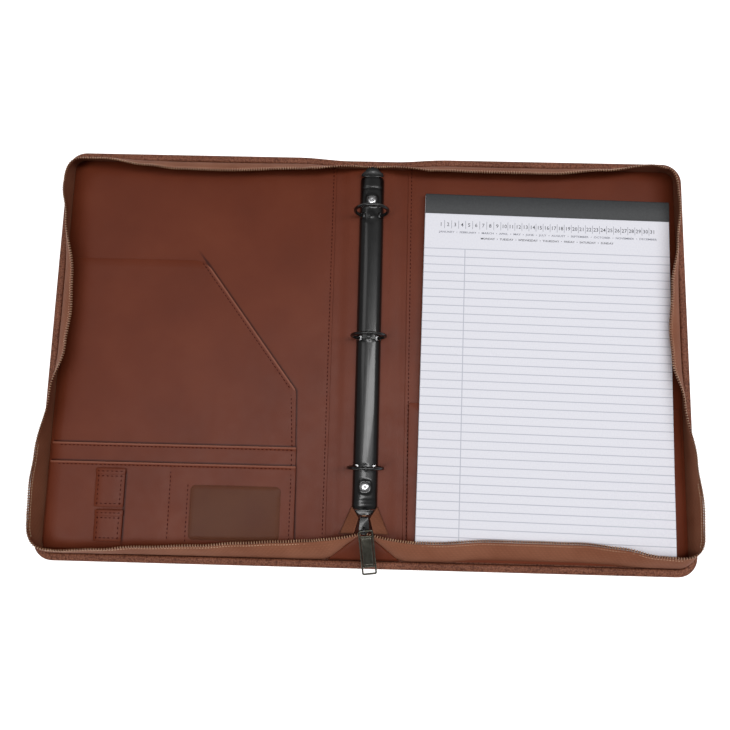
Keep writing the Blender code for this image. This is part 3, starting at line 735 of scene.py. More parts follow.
# The pocket gets a painted highlight along its mouth and a painted shadow under the upper strip's mouth.
pocket = soft_panel(
    "document_pocket_panel", rounded(POCKET_CORNERS, 8), (5.4, POCKET_TOP),
    seams=[SLANT_SEAM, ((-64.2, -36), (-61.8, -78))],
    mouth=POCKET_MOUTH, shade_lines=[UPPER_LINE], lift=POCKET_LIFT, step=8,
)
place(pocket, "front_cover", "smooth_leather", "document_pocket")

# The lower strip gets a painted shadow along the right edge of each pen loop.
loop_edges = [((right + 0.2, low), (right + 0.2, high)) for _, right, low, high in PEN_LOOPS.values()]
for which, mouth, layer, seams, shade_lines in (
    ("upper", UPPER_LINE, (6.25, UPPER_TOP), [((-61.6, -82), (-61.6, -97))], [LOWER_LINE]),
    (
        "lower", LOWER_LINE, (7.15, LOWER_TOP),
        [((-61.4, -98), (-61.4, -164)), ((-161, -98), (-161, -155))], loop_edges,
    ),
):
    right, top = mouth[1]
    # Each strip gets a painted highlight along its mouth and a painted shadow beside the edge of what lies over it.
    strip = soft_panel(
        f"card_strip_{which}_panel", box_outline(POCKET_LEFT, right, POCKET_FOOT, top, 0.6), layer,
        seams=[((-256, top - MOUTH_SEAM), (-62, top - MOUTH_SEAM)), *seams],
        mouth=mouth, shade_lines=shade_lines, lift=STRIP_LIFT, step=10, edge=0.32,
    )
    place(strip, "front_cover", "smooth_leather", "card_strip_" + which)

# %% [markdown]
# The identity window is a sheet of clear PVC let into the lower strip. It is a little slack, so it
# bulges, and a thin welded bead runs round it. The leather under it looks browner.

# %% Identity window
WINDOW = (-143.5, -69.6, -156.0, -112.5)
x0, x1, y0, y1 = WINDOW

shape = bmesh.new()
soft_slab(shape, box_outline(*WINDOW, 4.0), LOWER_TOP + 0.06, LOWER_TOP + 0.3, edge=0.1)
grid_cuts(shape, span(x0, x1, 4)[1:-1], span(y0, y1, 4)[1:-1])
for vert in shape.verts:
    x, y, _ = vert.co
    inside = min(x - x0, x1 - x, y - y0, y1 - y)
    vert.co.z += relief(x, y) + 0.2 * ease(inside / 14) * (1.2 + noise.noise(Vector((x / 40, y / 30, 7))))
settle(shape, "id_window_film", clear_film, "front_cover", "film", "id_window", crease=70)

WELD = ((-0.4, 0), (-0.2, 0.22), (0.2, 0.26), (0.4, 0.0), (0, -0.3))
shape = bmesh.new()
path = box_outline(x0 - 0.2, x1 + 0.2, y0 - 0.2, y1 + 0.2, 4.2)
rings = []
for i, p in enumerate(path):
    out = (path[(i + 1) % len(path)] - path[i - 1]).normalized()
    out = Vector((out.y, -out.x))
    z = LOWER_TOP + relief(p.x, p.y)
    rings.append([(p.x + out.x * u, p.y + out.y * u, z + v) for u, v in WELD])
loft(shape, rings, joined=True)
settle(shape, "id_window_weld", clear_film, "front_cover", "film")

# %% [markdown]
# A pen loop is a band of leather sewn down at both sides and bowed between them. The upper end is
# folded into a hem, which shows as a second, thicker band.

# %% Pen loops
LOOP_RISE, LOOP_WALL = 1.3, 0.8


def loop_bow(x, left, right):
    """How high a pen loop's underside stands at x."""
    u = (2 * x - left - right) / (right - left)
    return LOOP_RISE * (1 - abs(u) ** 4)


for name, (left, right, low, high) in PEN_LOOPS.items():
    shape = bmesh.new()
    soft_slab(shape, box_outline(left, right, low, high, 0.8), LOOP_BASE, LOOP_BASE + LOOP_WALL, edge=0.3)
    hem = box_outline(left - 0.2, right + 0.2, high - 5.2, high - 0.3, 0.8)
    soft_slab(shape, hem, LOOP_BASE + 0.5, LOOP_BASE + 1.35, edge=0.3)
    grid_cuts(shape, span(left, right, 1.2)[1:-1], span(low, high, 4)[1:-1])
    swollen(shape)
    for vert in shape.verts:
        vert.co.z += loop_bow(min(max(vert.co.x, left), right), left, right)
    settle(
        shape, f"pen_loop_{name}_band", smooth_leather, "front_cover", "smooth_leather", "pen_loop_" + name, crease=60
    )

# %% [markdown]
# Right cover: a leather sleeve holds the pad's card. Most of it lies under the pad.

# %% Pad sleeve
SLEEVE = (35, 261, -165, -40)
shape = bmesh.new()
soft_slab(shape, box_outline(*SLEEVE, 1.5), 5.45, 7.05, edge=0.35)
grid_cuts(shape, span(*SLEEVE[:2], 12)[1:-1], span(*SLEEVE[2:], 12)[1:-1])
swollen(shape, 0.3)
settle(shape, "pad_sleeve_panel", smooth_leather, "back_cover", "smooth_leather", "pad_sleeve", crease=60)

# %% [markdown]
# Stitches and zip teeth are the same idea: one small shape repeated along a line, turned to follow
# it. Geometry Nodes do this. The line is a chain of edges whose points carry an "up" direction. The
# tree resamples it at the spacing, lays a squashed ball on every point, turns each one along the
# line, and ends in real mesh with its material.

# %% Geometry Nodes: a row of repeats
ROW_INPUTS = {
    "Line": "Geometry", "Spacing": "Float", "Length": "Float", "Width": "Float", "Height": "Float",
    "Unevenness": "Float", "Sides": "Int", "Seed": "Int", "Material": "Material",
}


def make_row_tree():
    tree = bpy.data.node_groups.new("row_of_repeats", "GeometryNodeTree")
    for name, kind in ROW_INPUTS.items():
        tree.interface.new_socket(name, in_out="INPUT", socket_type="NodeSocket" + kind)
    tree.interface.new_socket("Geometry", in_out="OUTPUT", socket_type="NodeSocketGeometry")

    def node(kind, inputs=None, socket=0, **settings):
        return add(tree, kind, inputs, **settings).outputs[socket]

    given = add(tree, "NodeGroupInput").outputs
    curve = node("GeometryNodeMeshToCurve", {0: given["Line"]})
    points = node("GeometryNodeResampleCurve", {"Curve": curve, "Length": given["Spacing"]}, mode="LENGTH")
    ball = node("GeometryNodeMeshUVSphere", {"Segments": given["Sides"], "Rings": 4, "Radius": 0.5}, "Mesh")
    size = node("ShaderNodeCombineXYZ", {0: given["Length"], 1: given["Width"], 2: given["Height"]})
    bead = node("GeometryNodeTransform", {"Geometry": ball, "Scale": size})
    up = node("GeometryNodeInputNamedAttribute", {"Name": "up"}, data_type="FLOAT_VECTOR")
    ahead = node("FunctionNodeAlignRotationToVector", {"Vector": node("GeometryNodeInputTangent")}, axis="X")
    turned_up = {"Rotation": ahead, "Vector": up}
    upright = node("FunctionNodeAlignRotationToVector", turned_up, axis="Z", pivot_axis="X")
    less = maths(tree, "SUBTRACT", 1.0, given["Unevenness"])
    more = maths(tree, "ADD", 1.0, given["Unevenness"])
    limits = {2: less, 3: more, "Seed": given["Seed"]}
    uneven = node("FunctionNodeRandomValue", limits, 1, data_type="FLOAT")
    copies = node(
        "GeometryNodeInstanceOnPoints", {"Points": points, "Instance": bead, "Rotation": upright, "Scale": uneven}
    )
    smooth = node("GeometryNodeSetShadeSmooth", {0: node("GeometryNodeRealizeInstances", {0: copies})})
    painted = node("GeometryNodeSetMaterial", {"Geometry": smooth, "Material": given["Material"]})
    add(tree, "NodeGroupOutput", {0: painted})
    return tree


row_tree = make_row_tree()


def make_row(name, strands, material, spacing, size, unevenness=0.05, sides=6, seed=4):
    """One mesh of repeats along strands of (point, up) pairs, all in millimetres."""
    mesh = bpy.data.meshes.new(name)
    points, edges = [], []
    for strand in strands:
        first = len(points)
        points += [Vector(p) * MM for p, _ in strand]
        edges += [(i, i + 1) for i in range(first, len(points) - 1)]
    mesh.from_pydata(points, edges, [])
    held = mesh.attributes.new("up", "FLOAT_VECTOR", "POINT")
    held.data.foreach_set("vector", [n for strand in strands for _, up in strand for n in up])
    made = bpy.data.objects.new(name, mesh)
    bpy.context.scene.collection.objects.link(made)
    modifier = made.modifiers.new("row", "NODES")
    modifier.node_group = row_tree
    values = {
        "Spacing": spacing * MM, "Length": size[0] * MM, "Width": size[1] * MM, "Height": size[2] * MM,
        "Unevenness": unevenness, "Sides": sides, "Seed": seed, "Material": material,
    }
    for item in row_tree.interface.items_tree:
        if item.name in values and item.in_out == "INPUT":
            modifier[item.identifier] = values[item.name]
    return bake_modifiers(made)


print("row tree has", len(row_tree.nodes), "nodes")

# %% [markdown]
# The thread is dark brown polyester, about 3.4 mm a stitch. Each stitch lies in the dip that its
# needle made. The rows are listed as lines on the panels, with the height of the leather there.

# %% Stitches
STITCH_PITCH = 3.4
STITCH_SIZE = (2.3, 0.9, 0.5)
UP = (0, 0, 1)


def sewn(start, end, height, step=3):
    """A sewn line as (point, up) pairs. height is a level or a function of x and y."""
    start, end = Vector(start), Vector(end)
    count = max(2, round((end - start).length / step))
    strand = []
    for k in range(count + 1):
        p = start.lerp(end, k / count)
        z = height(p.x, p.y) if callable(height) else height + relief(p.x, p.y)
        strand.append(((p.x, p.y, z), UP))
    return strand


def in_seam(level):
    return level - STITCH_DIP + 0.1


def sewn_mouth(start, end, level, mouth, lift):
    def height(x, y):
        return in_seam(level) + relief(x, y) + mouth_rise(along((x, y), mouth)[0], lift)

    return sewn(start, end, height)


rows = {side: [sewn((hem, -166), (hem, 166), in_seam(LINING_TOP))] for side, hem in HEM_STITCH.items()}
rows[-1].append(sewn_mouth(*SLANT_SEAM, POCKET_TOP, POCKET_MOUTH, POCKET_LIFT))
rows[-1].append(sewn((-64.2, -36), (-61.8, -78), in_seam(POCKET_TOP)))
for line, level in ((UPPER_LINE, UPPER_TOP), (LOWER_LINE, LOWER_TOP)):
    y = line[0][1] - MOUTH_SEAM
    rows[-1].append(sewn_mouth((-254, y), (-62, y), level, line, STRIP_LIFT))
for start, end, level in (
    ((-61.6, -82), (-61.6, -94), in_seam(UPPER_TOP) + 0.25),
    ((-61.4, -99), (-61.4, -164), in_seam(LOWER_TOP)),
    ((-161, -99), (-161, -155), in_seam(LOWER_TOP)),
    ((WINDOW[0] - 2.6, -113), (WINDOW[0] - 2.6, -157), LOWER_TOP),
):
    rows[-1].append(sewn(start, end, level))

LOOP_SEAM_INSET, LOOP_HEM_SEAM, LOOP_TOP_SEAM = 2.8, 6.6, 2.6
for left, right, low, high in PEN_LOOPS.values():
    def on_loop(x, y, left=left, right=right):
        return LOOP_BASE + LOOP_WALL + loop_bow(x, left, right) + relief(x, y)

    def on_hem(x, y, on_loop=on_loop):
        return on_loop(x, y) + 0.5

    a, b = left + LOOP_SEAM_INSET, right - LOOP_SEAM_INSET
    c, d, e = low + LOOP_SEAM_INSET, high - LOOP_HEM_SEAM, high - LOOP_TOP_SEAM
    for start, end in (((a, c), (b, c)), ((b, c), (b, d)), ((b, d), (a, d)), ((a, d), (a, c))):
        rows[-1].append(sewn(start, end, on_loop, step=1.5))
    rows[-1].append(sewn((a, e), (b, e), on_hem, step=1.5))
for side, prefix in SIDES:
    row = make_row(prefix + "_cover_stitches", rows[side], sewing_thread, STITCH_PITCH, STITCH_SIZE)
    place(row, prefix + "_cover", "smooth_leather")

# %% [markdown]
# The underside is sewn all round in the groove near the edge, in one row for each cover.

# %% Stitches under the rim
GROOVE_INSET, GROOVE_HEIGHT = 5.2, 0.3
groove = [point - out * GROOVE_INSET for point, out in rim_stations()]
for side, prefix in SIDES:
    strand = [((side * p.x, p.y, GROOVE_HEIGHT), UP) for p in groove if p.x > FOLD_INNER]
    row = make_row(prefix + "_rim_stitches", [strand], sewing_thread, STITCH_PITCH, STITCH_SIZE)
    place(row, "spine", "grained_leather", **bending(side))

# %% [markdown]
# The zip tape is one strip for each cover: it rises from the trough in the rim, leans in over the
# lining, turns the corners, and runs on to the slider at the foot of the spine and to the middle of
# its head. How far it leans changes along the way, because the tape is loose. A cross-section bends
# upright near the foot and over near the teeth.

# %% Zip tape
WALL_START, WALL_INSET, WALL_BASE = 48.0, 6.5, 6.5
TAPE_WIDTH, TAPE_THICKNESS = 17.6, 0.7
TAPE_FOOT_INSET, TAPE_FOOT_DROP = 7.1, 3.0
CREST_SHORT, CREST_WAVE, WAVE_LENGTH = 0.3, 0.25, 26
COIL_OUT = 1.5
# Leans as (place in mm, degrees): out along the bottom edge, up the side, and back along the top
FRONT_LEANS = (
    ((48, 62), (67, 56), (98, 48), (130, 38), (177, 31), (208, 22), (239, 17), (251, 20)),
    (
        (-154, 8), (-134, -6), (-110, -8), (-87, -2), (-38, 20), (0, 45),
        (30, 52), (60, 47), (106, 21), (132, 8), (154, 14),
    ),
    ((250, 24), (226, 23), (192, 38), (166, 46), (123, 48), (63, 40), (48, 36)),
)
BACK_LEANS = (
    ((48, 66), (70, 67), (110, 68), (170, 67), (204, 58), (230, 41), (251, 37)),
    (
        (-154, 22), (-136, -5), (-115, -7), (-80, 5), (-34, 27), (0, 50),
        (22, 54), (60, 44), (96, 27), (126, 18), (154, 25),
    ),
    ((250, 23), (233, 13), (194, 29), (150, 40), (92, 40), (63, 38), (48, 36)),
)


def lean_at(keys, where):
    """The lean at a place along one edge, eased between the keys on either side."""
    for (here, lean), (there, next_lean) in zip(keys, keys[1:]):
        if min(here, there) <= where <= max(here, there):
            return lean + (next_lean - lean) * ease((where - here) / (there - here))
    return keys[-1][1]


def wall_lines(leans, tuck):
    """(foot point, crest point, up the slope at the crest) round the right cover.

    tuck moves the bottom run of the tape in by that much.
    """
    edge, far = HALF_WIDTH - WALL_INSET, HALF_LENGTH - WALL_INSET
    radius = CORNER - WALL_INSET
    bend, reach = edge - radius, far - radius
    lines = []

    def station(p, inward, lean):
        lean = math.radians(lean)
        inside = Vector((*inward, 0))
        slope = inside * math.sin(lean) + Vector((0, 0, math.cos(lean)))
        base = Vector((*p, WALL_BASE))
        if p[1] < -far + 0.1:
            base.y += tuck * ease((p[0] - 60) / 40) * ease((235 - p[0]) / 60)
        foot = base + inside * (TAPE_FOOT_INSET - WALL_INSET) - Vector((0, 0, TAPE_FOOT_DROP))
        wave = CREST_WAVE * noise.noise(base / WAVE_LENGTH) * inside
        lines.append((foot, base + slope * (TAPE_WIDTH - CREST_SHORT) + wave, slope))

    def straight(start, end, inward, keys, count):
        first, last = keys[0][0], keys[-1][0]
        for k in range(count + 1):
            p = Vector(start).lerp(Vector(end), k / count)
            drawn = waist(p.x) if p.y > reach else 0.0
            station((p.x, p.y - drawn), inward, lean_at(keys, first + (last - first) * k / count))

    def corner(centre, start, before, after):
        for k in range(1, 10):
            angle = start + math.pi / 2 * k / 10
            out = Vector((math.cos(angle), math.sin(angle)))
            station(Vector(centre) + out * radius, -out, before + (after - before) * ease(k / 10))

    bottom, side, top = leans
    straight((WALL_START, -far), (bend, -far), (0, 1), bottom, 36)
    corner((bend, -reach), -math.pi / 2, bottom[-1][1], side[0][1])
    straight((edge, -reach), (edge, reach), (-1, 0), side, 56)
    corner((bend, reach), 0, side[-1][1], top[0][1])
    straight((bend, far), (WALL_START, far), (0, -1), top, 36)
    # The crest rounds each corner in one wide curve.
    for low, high, before in ((-175, -138, True), (138, 175, False)):
        turn = [i for i, (foot, _, _) in enumerate(lines) if foot.x > 248 and low < foot.y < high]
        a, b = lines[turn[0]], lines[turn[-1]]
        beyond = Vector((b[1].x, a[1].y, 0)) if before else Vector((a[1].x, b[1].y, 0))
        beyond.z = (a[1].z + b[1].z) / 2
        for i in turn:
            t = (i - turn[0]) / (len(turn) - 1)
            crest = (1 - t) ** 2 * a[1] + 2 * t * (1 - t) * beyond + t * t * b[1]
            lines[i] = (lines[i][0], crest, a[2].lerp(b[2], t).normalized())
    return lines


def spine_lines(first):
    """The loose tape at the spine: from the slider up to the first station, and on past the last.

    At the head the tape dips under the tip of the lever.
    """
    foot_y = TAPE_FOOT_INSET - HALF_LENGTH
    head_y = HALF_LENGTH - WAIST - TAPE_FOOT_INSET
    joining = Vector((41, -153.7, 16.2)).lerp(first[1] - Vector((7, 0, 0)), 0.4)
    into = (
        ((3.4, -147.4, 19.3), (3.0, -146.4, 21.9)), ((8, -150.8, 16.6), (7.4, -147.7, 21.6)),
        ((14, -155.6, 12.8), (13.5, -149.4, 21.2)), ((20.5, -161.6, 8.6), (20.5, -150.8, 20.4)),
        ((26.5, -166.8, 5.4), (27.5, -152.0, 19.2)), ((33, foot_y + 0.2, 3.6), (34.5, -152.9, 17.8)),
        ((40, foot_y, 3.5), joining),
    )
    out_of = (
        ((38, head_y + 0.4, 3.5), (38, 160.2, 20.3)), ((26, head_y + 0.1, 3.5), (26, 161.7, 18.9)),
        ((13, head_y, 3.5), (13, 163.9, 14.3)), ((6.5, head_y, 3.5), (6.5, 165.4, 10.0)),
        ((0.02, head_y, 3.5), (0.02, 166.0, 8.4)),
    )
    pairs = [[(Vector(foot), Vector(crest)) for foot, crest in run] for run in (into, out_of)]
    return [[(foot, crest, (crest - foot).normalized()) for foot, crest in run] for run in pairs]


SECTION_STEPS = 8


def section_line(foot, crest, slope):
    """The bent line of the tape from foot to crest."""
    lift = Vector((0, 0, 1)) * min(1.0, (crest - foot).length / 20)
    control = foot + lift * 7 + (crest - foot) * 0.15
    ts = [k / SECTION_STEPS for k in range(SECTION_STEPS + 1)]
    return [(1 - t) ** 2 * foot + 2 * t * (1 - t) * control + t * t * crest for t in ts]


def tape_piece(name, lines):
    """Lofts the tape with its thickness, and gives it a UV map in millimetres along and across."""
    sections = [section_line(*line) for line in lines]
    shape = bmesh.new()
    rings, marks = [], []
    distance = 0.0
    for n, points in enumerate(sections):
        before, after = sections[max(n - 1, 0)], sections[min(n + 1, len(sections) - 1)]
        if n:
            distance += (points[-1] - before[-1]).length
        front, rear = [], []
        for i, p in enumerate(points):
            run = (after[i] - before[i]).normalized()
            rise = (points[min(i + 1, SECTION_STEPS)] - points[max(i - 1, 0)]).normalized()
            normal = run.cross(rise).normalized() * TAPE_THICKNESS / 2
            front.append(p + normal)
            rear.append(p - normal)
        rings.append(front + rear[::-1])
        across = [(distance, i * TAPE_WIDTH / SECTION_STEPS) for i in range(SECTION_STEPS + 1)]
        marks.append(across + across[::-1])
    made = loft(shape, rings)
    uv = shape.loops.layers.uv.new("UVMap")
    where = {vert: mark for ring, row in zip(made, marks) for vert, mark in zip(ring, row)}
    for polygon in shape.faces:
        for corner in polygon.loops:
            corner[uv].uv = [n / UV_SIZE for n in where[corner.vert]]
    return make_piece(shape, name, woven_tape, crease_angle=60)


def flipped(line):
    return tuple(Vector((-v.x, v.y, v.z)) for v in line)


ZIP_BEND = (6, 40)
TUCK = {-1: 0.0, 1: 2.5}
tape_lines = {}
for side, leans in ((-1, FRONT_LEANS), (1, BACK_LEANS)):
    prefix = dict(SIDES)[side]
    wall = wall_lines(leans, TUCK[side])
    into, out_of = spine_lines(wall[0])
    lines = into + wall + out_of
    tape_lines[side] = [flipped(line) for line in lines] if side < 0 else lines
    tape = tape_piece(prefix + "_zip_tape_strip", tape_lines[side])
    nodes = [prefix + end for end in ("_zip_tape", "_bridge_bottom", "_bridge_top")]
    place(tape, "spine", "tape", *nodes, **bending(side, *ZIP_BEND))

# %% [markdown]
# The teeth are one long nylon filament wound into a coil and sewn to the tape's edge. Seen from
# above each turn is a short bar across the edge. A real coil has one every 1.5 mm. The row tree lays
# one every 2.1 mm, over four hundred on each side. A cord runs inside the coil, made dark as painted
# shade between the turns, and a beige thread is sewn along the tape below it.

# %% Zip coils
def smooth_strand(points, per=3):
    """More points along a line, by a Catmull-Rom curve."""
    made = []
    for i in range(len(points) - 1):
        a, b = points[i], points[i + 1]
        before = points[i - 1] if i else a * 2 - b
        after = points[i + 2] if i + 2 < len(points) else b * 2 - a
        for k in range(per):
            t = k / per
            made.append(
                0.5 * (2 * a + (b - before) * t + (2 * before - 5 * a + 4 * b - after) * t * t
                       + (3 * a - before - 3 * b + after) * t ** 3)
            )
    return made + [points[-1]]


TOOTH_PITCH, CORD_PITCH, ZIP_THREAD_PITCH = 2.1, 2.0, 2.3
TOOTH_SIZE, CORD_SIZE, ZIP_THREAD_SIZE = (1.2, 3.3, 1.8), (2.8, 1.3, 1.1), (1.9, 0.95, 0.5)
ZIP_THREAD_INSET, ZIP_THREAD_RISE = 2.9, 0.12
for side, prefix in SIDES:
    bend = bending(side, *ZIP_BEND)
    centres = smooth_strand([crest + slope * COIL_OUT for _, crest, slope in tape_lines[side]])
    slopes = smooth_strand([slope for _, _, slope in tape_lines[side]])
    strand = []
    for i, p in enumerate(centres):
        run = (centres[min(i + 1, len(centres) - 1)] - centres[max(i - 1, 0)]).normalized()
        strand.append((p, run.cross(slopes[i]).normalized()))
    teeth = make_row(prefix + "_zip_teeth", [strand], nylon_coil, TOOTH_PITCH, TOOTH_SIZE, unevenness=0.03, sides=8)
    place(teeth, "spine", "coil", prefix + "_zip_coil", **bend)
    # The core cord is real, but its dark thread colour is painted shade in the gaps between the coil's turns.
    core_cord_and_shade = make_row(prefix + "_zip_cord_and_shade", [strand], sewing_thread, CORD_PITCH, CORD_SIZE)
    place(core_cord_and_shade, "spine", "coil", **bend)

    sewn_strand = []
    for (p, up), slope in zip(strand, slopes):
        up = up if up.z > 0 else -up
        sewn_strand.append((p - slope * ZIP_THREAD_INSET + up * (TAPE_THICKNESS / 2 + ZIP_THREAD_RISE), up))
    thread = make_row(prefix + "_zip_thread", [sewn_strand], zip_thread, ZIP_THREAD_PITCH, ZIP_THREAD_SIZE)
    place(thread, "spine", "tape", **bend)

# %% [markdown]
# At the foot of the spine both tapes run into the slider. A triangle of leather fills the space under
# it, in two halves, one on each side, and each tape's spare end is folded back on itself at
# the end of the mechanism.

# %% Zip end: gusset, folded tape ends and closed coil
PATCH_STEPS, PATCH_THICKNESS = 10, 0.8


def sheet_patch(name, corners, material, bow):
    """A thin patch over four corners, bowed up in the middle."""
    a, b, c, d = (Vector(p) for p in corners)
    normal = (b - a).cross(d - a).normalized()
    if normal.z < 0:
        normal = -normal
    shape = bmesh.new()
    ts = [k / PATCH_STEPS for k in range(PATCH_STEPS + 1)]
    grid = []
    for u in ts:
        swell = [bow * math.sin(math.pi * u) * math.sin(math.pi * v) + PATCH_THICKNESS for v in ts]
        row = [a.lerp(b, u).lerp(d.lerp(c, u), v) + normal * rise for v, rise in zip(ts, swell)]
        grid.append([shape.verts.new(p) for p in row])
    uv = shape.loops.layers.uv.new("UVMap")
    for polygon in net(shape, grid):
        for corner in polygon.loops:
            corner[uv].uv = corner.vert.co.xy / UV_SIZE
    made = make_piece(shape, name, material, turn_out=False)
    return bake_modifiers(thickened(made, PATCH_THICKNESS))


GUSSET = ((0, -168.8, 5.0), (29, -168.8, 5.0), (3.2, -147.2, 18.2), (0, -147.2, 18.2))
FOLDED_END = ((10.2, -126.5, 5.7), (19.7, -148.6, 5.7), (7.5, -146.8, 16.0), (4.3, -134.5, 17.6))
for side, name in SIDES:
    gusset, folded = ([(side * x, y, z) for x, y, z in corners] for corners in (GUSSET, FOLDED_END))
    patch = sheet_patch("zip_end_leather_" + name, gusset, smooth_leather, -0.8)
    nodes = ["zip_end_gusset"] if side < 0 else []
    place(patch, "spine", "smooth_leather", *nodes, **bending(side))
    patch = sheet_patch("zip_end_fold_" + name, folded, woven_tape, 0.5)
    place(patch, "spine", "tape", "zip_end_tape_" + name)

strand = [(Vector((0, y, 21.9)), UP) for y in (-140.5, -131.8)]
coil_end = make_row("zip_end_teeth", [strand], nylon_coil, TOOTH_PITCH, (1.0, 4.2, 1.9), sides=8)
place(coil_end, "spine", "coil", "zip_end_coil")

# %% [markdown]
# The slider is cast in two plates joined by a post, with a V-shaped front where the two coils enter.
# The bail is a small bridge that holds the pull. All of it is black enamel with rounded edges.

# %% Slider and bail
SLIDER_NOSE, SLIDER_TAIL = -147.0, -133.0
SLIDER_FLOOR, SLIDER_TOP = 19.4, 24.4
SHIELD = (
    (-3.4, SLIDER_TAIL, 1.0), (-4.25, SLIDER_NOSE + 5, 2.0), (-2.6, SLIDER_NOSE + 0.6, 1.0),
    (0, SLIDER_NOSE + 0.9, 0.5),
    (2.6, SLIDER_NOSE + 0.6, 1.0), (4.25, SLIDER_NOSE + 5, 2.0), (3.4, SLIDER_TAIL, 1.0),
)
POST = ((-1.3, SLIDER_NOSE + 2.2, 0.5), (1.3, SLIDER_NOSE + 2.2, 0.5), (0, SLIDER_NOSE + 7.2, 0.3))
RAIL = ((3.1, SLIDER_TAIL + 0.4), (3.9, SLIDER_NOSE + 6.0), (3.2, SLIDER_NOSE + 6.0), (2.6, SLIDER_TAIL + 0.4))
shape = bmesh.new()
outline = rounded(SHIELD, 4)
soft_slab(shape, outline, SLIDER_TOP - 1.35, SLIDER_TOP, edge=0.45)
soft_slab(shape, outline, SLIDER_FLOOR, SLIDER_FLOOR + 1.3, edge=0.45)
soft_slab(shape, rounded(POST), SLIDER_FLOOR + 1, SLIDER_TOP - 1, edge=0.1)
for side, _ in SIDES:
    rail = [(side * x, y) for x, y in RAIL]
    soft_slab(shape, rail, SLIDER_TOP - 2.0, SLIDER_TOP - 1.0, edge=0.15)
    soft_slab(shape, rail, SLIDER_FLOOR + 1.0, SLIDER_FLOOR + 1.9, edge=0.15)
settle(shape, "zip_slider_body", enamelled_steel, "zip_slider", "black_steel", "slider_body", crease=45)

PULL_PIVOT = Vector((1.2, -143.2, 26.0))


def bar_section(width, height, edge):
    """A rounded bar's section as (u, v) pairs."""
    u, v = width / 2, height / 2
    return [tuple(p) for p in rounded([(-u, -v, edge), (u, -v, edge), (u, v, edge), (-u, v, edge)], 3)]


shape = bmesh.new()
rings = []
for k in range(17):
    angle = math.pi * k / 16
    out = Vector((0, math.cos(angle), math.sin(angle)))
    centre = Vector((0, PULL_PIVOT.y + 2.75 * out.y, SLIDER_TOP - 0.1 + 3.4 * out.z))
    rings.append([centre + Vector((1, 0, 0)) * u + out * v for u, v in bar_section(2.2, 0.9, 0.35)])
loft(shape, rings)
settle(shape, "zip_slider_bail", enamelled_steel, "zip_slider", "black_steel", "slider_bail", crease=50)

# %% [markdown]
# The pull hangs from the bail over the foot of the case. It is a long frame with three openings: a
# small eye for the bail, a bay that holds a pressed plate, and an open loop at the end. The frame's
# bars are round in section, and the plate has a raised bezel round a sunk, darker field.

# %% Pull
PULL_TURN = Matrix.Rotation(math.radians(7), 4, "Z") @ Matrix.Rotation(math.radians(17), 4, "X")
PULL_PLACE = Matrix.Translation(PULL_PIVOT) @ PULL_TURN
PULL_WIDTH, PULL_LENGTH, PULL_WIRE = 12.0, 37.0, 1.4
PLATE_TOP = 0.42


def closed_bar(shape, outline, section):
    """Sweeps a section round a closed flat outline."""
    outline = anticlockwise([Vector(p) for p in outline])
    rings = []
    for i, p in enumerate(outline):
        run = (outline[(i + 1) % len(outline)] - outline[i - 1]).normalized()
        out = Vector((run.y, -run.x))
        rings.append([(p.x + out.x * u, p.y + out.y * u, v) for u, v in section])
    loft(shape, rings, joined=True)


def pull_piece(shape, name, material, *nodes, crease=50):
    bmesh.ops.transform(shape, matrix=PULL_PLACE, verts=shape.verts)
    settle(shape, name, material, "zip_pull", "gunmetal", *nodes, crease=crease)


shape = bmesh.new()
half = PULL_WIDTH / 2 - PULL_WIRE / 2
wire = bar_section(PULL_WIRE, PULL_WIRE, 0.5)
closed_bar(shape, box_outline(-half, half, -PULL_LENGTH + 0.7, 0.0, 1.0), wire)
for y in (-4.6, -30.1):
    loft(shape, [[(x, y + u, v) for u, v in bar_section(1.2, 1.3, 0.4)] for x in span(-half, half, 1)])
pull_piece(shape, "zip_pull_frame", gunmetal_zinc, "pull_frame")

shape = bmesh.new()
inner = half - PULL_WIRE / 2 - 0.25
soft_slab(shape, box_outline(-inner, inner, -29.3, -5.4, 0.5), -0.5, PLATE_TOP, edge=0.2)
pull_piece(shape, "zip_pull_plate", gunmetal_zinc, "pull_plate")

shape = bmesh.new()
bezel = [(u, v + PLATE_TOP) for u, v in bar_section(0.8, 0.55, 0.22)]
closed_bar(shape, box_outline(-inner + 0.75, inner - 0.75, -28.3, -6.4, 0.5), bezel)
pull_piece(shape, "zip_pull_bezel", gunmetal_bezel, crease=60)

# %% [markdown]
# The ring mechanism's cover is pressed from one strip of steel: an arch, drawn in and creased at the
# ends, with a raised horseshoe round each rivet, a small boss under each ring, and slots that let the
# rings through. It is a grid over the arch, moved by those rules, and given the strip's thickness.

# %% Ring housing
HOUSING_Y = (-128.0, 156.5)
HOUSING_HALF, HOUSING_FOOT, HOUSING_RISE, HOUSING_WALL = 10.4, 5.4, 7.1, 0.8
RIVET_Y = (-110.0, 134.3)
RING_Y = (-94.3, 13.7, 121.7)
CREASES = ((146.0, 0.5), (-121.0, 0.35), (-123.4, 0.3), (-127.0, 0.3))


def pressed(x, y):
    """How far the press has moved the arch's top at this point."""
    rise = 0.0
    for centre in RIVET_Y:
        reach = (abs(x / 5.9) ** 4 + abs((y - centre) / 6.2) ** 4) ** 0.25
        rise += 0.95 * ease((1.0 - reach) / 0.22)
        dish = math.hypot(x, y - centre) / 4.3
        rise -= 0.5 * ease((1.0 - dish) / 0.2)
    for centre in RING_Y:
        rise += 0.5 * ease((1 - math.hypot(x, y - centre) / 3.2) / 0.4)
        rise -= 0.25 * ease((1 - math.hypot(x, y - centre) / 1.9) / 0.3)
    for centre, depth in CREASES:
        rise -= depth * math.exp(-(((y - centre) / 0.8) ** 2))
    return rise


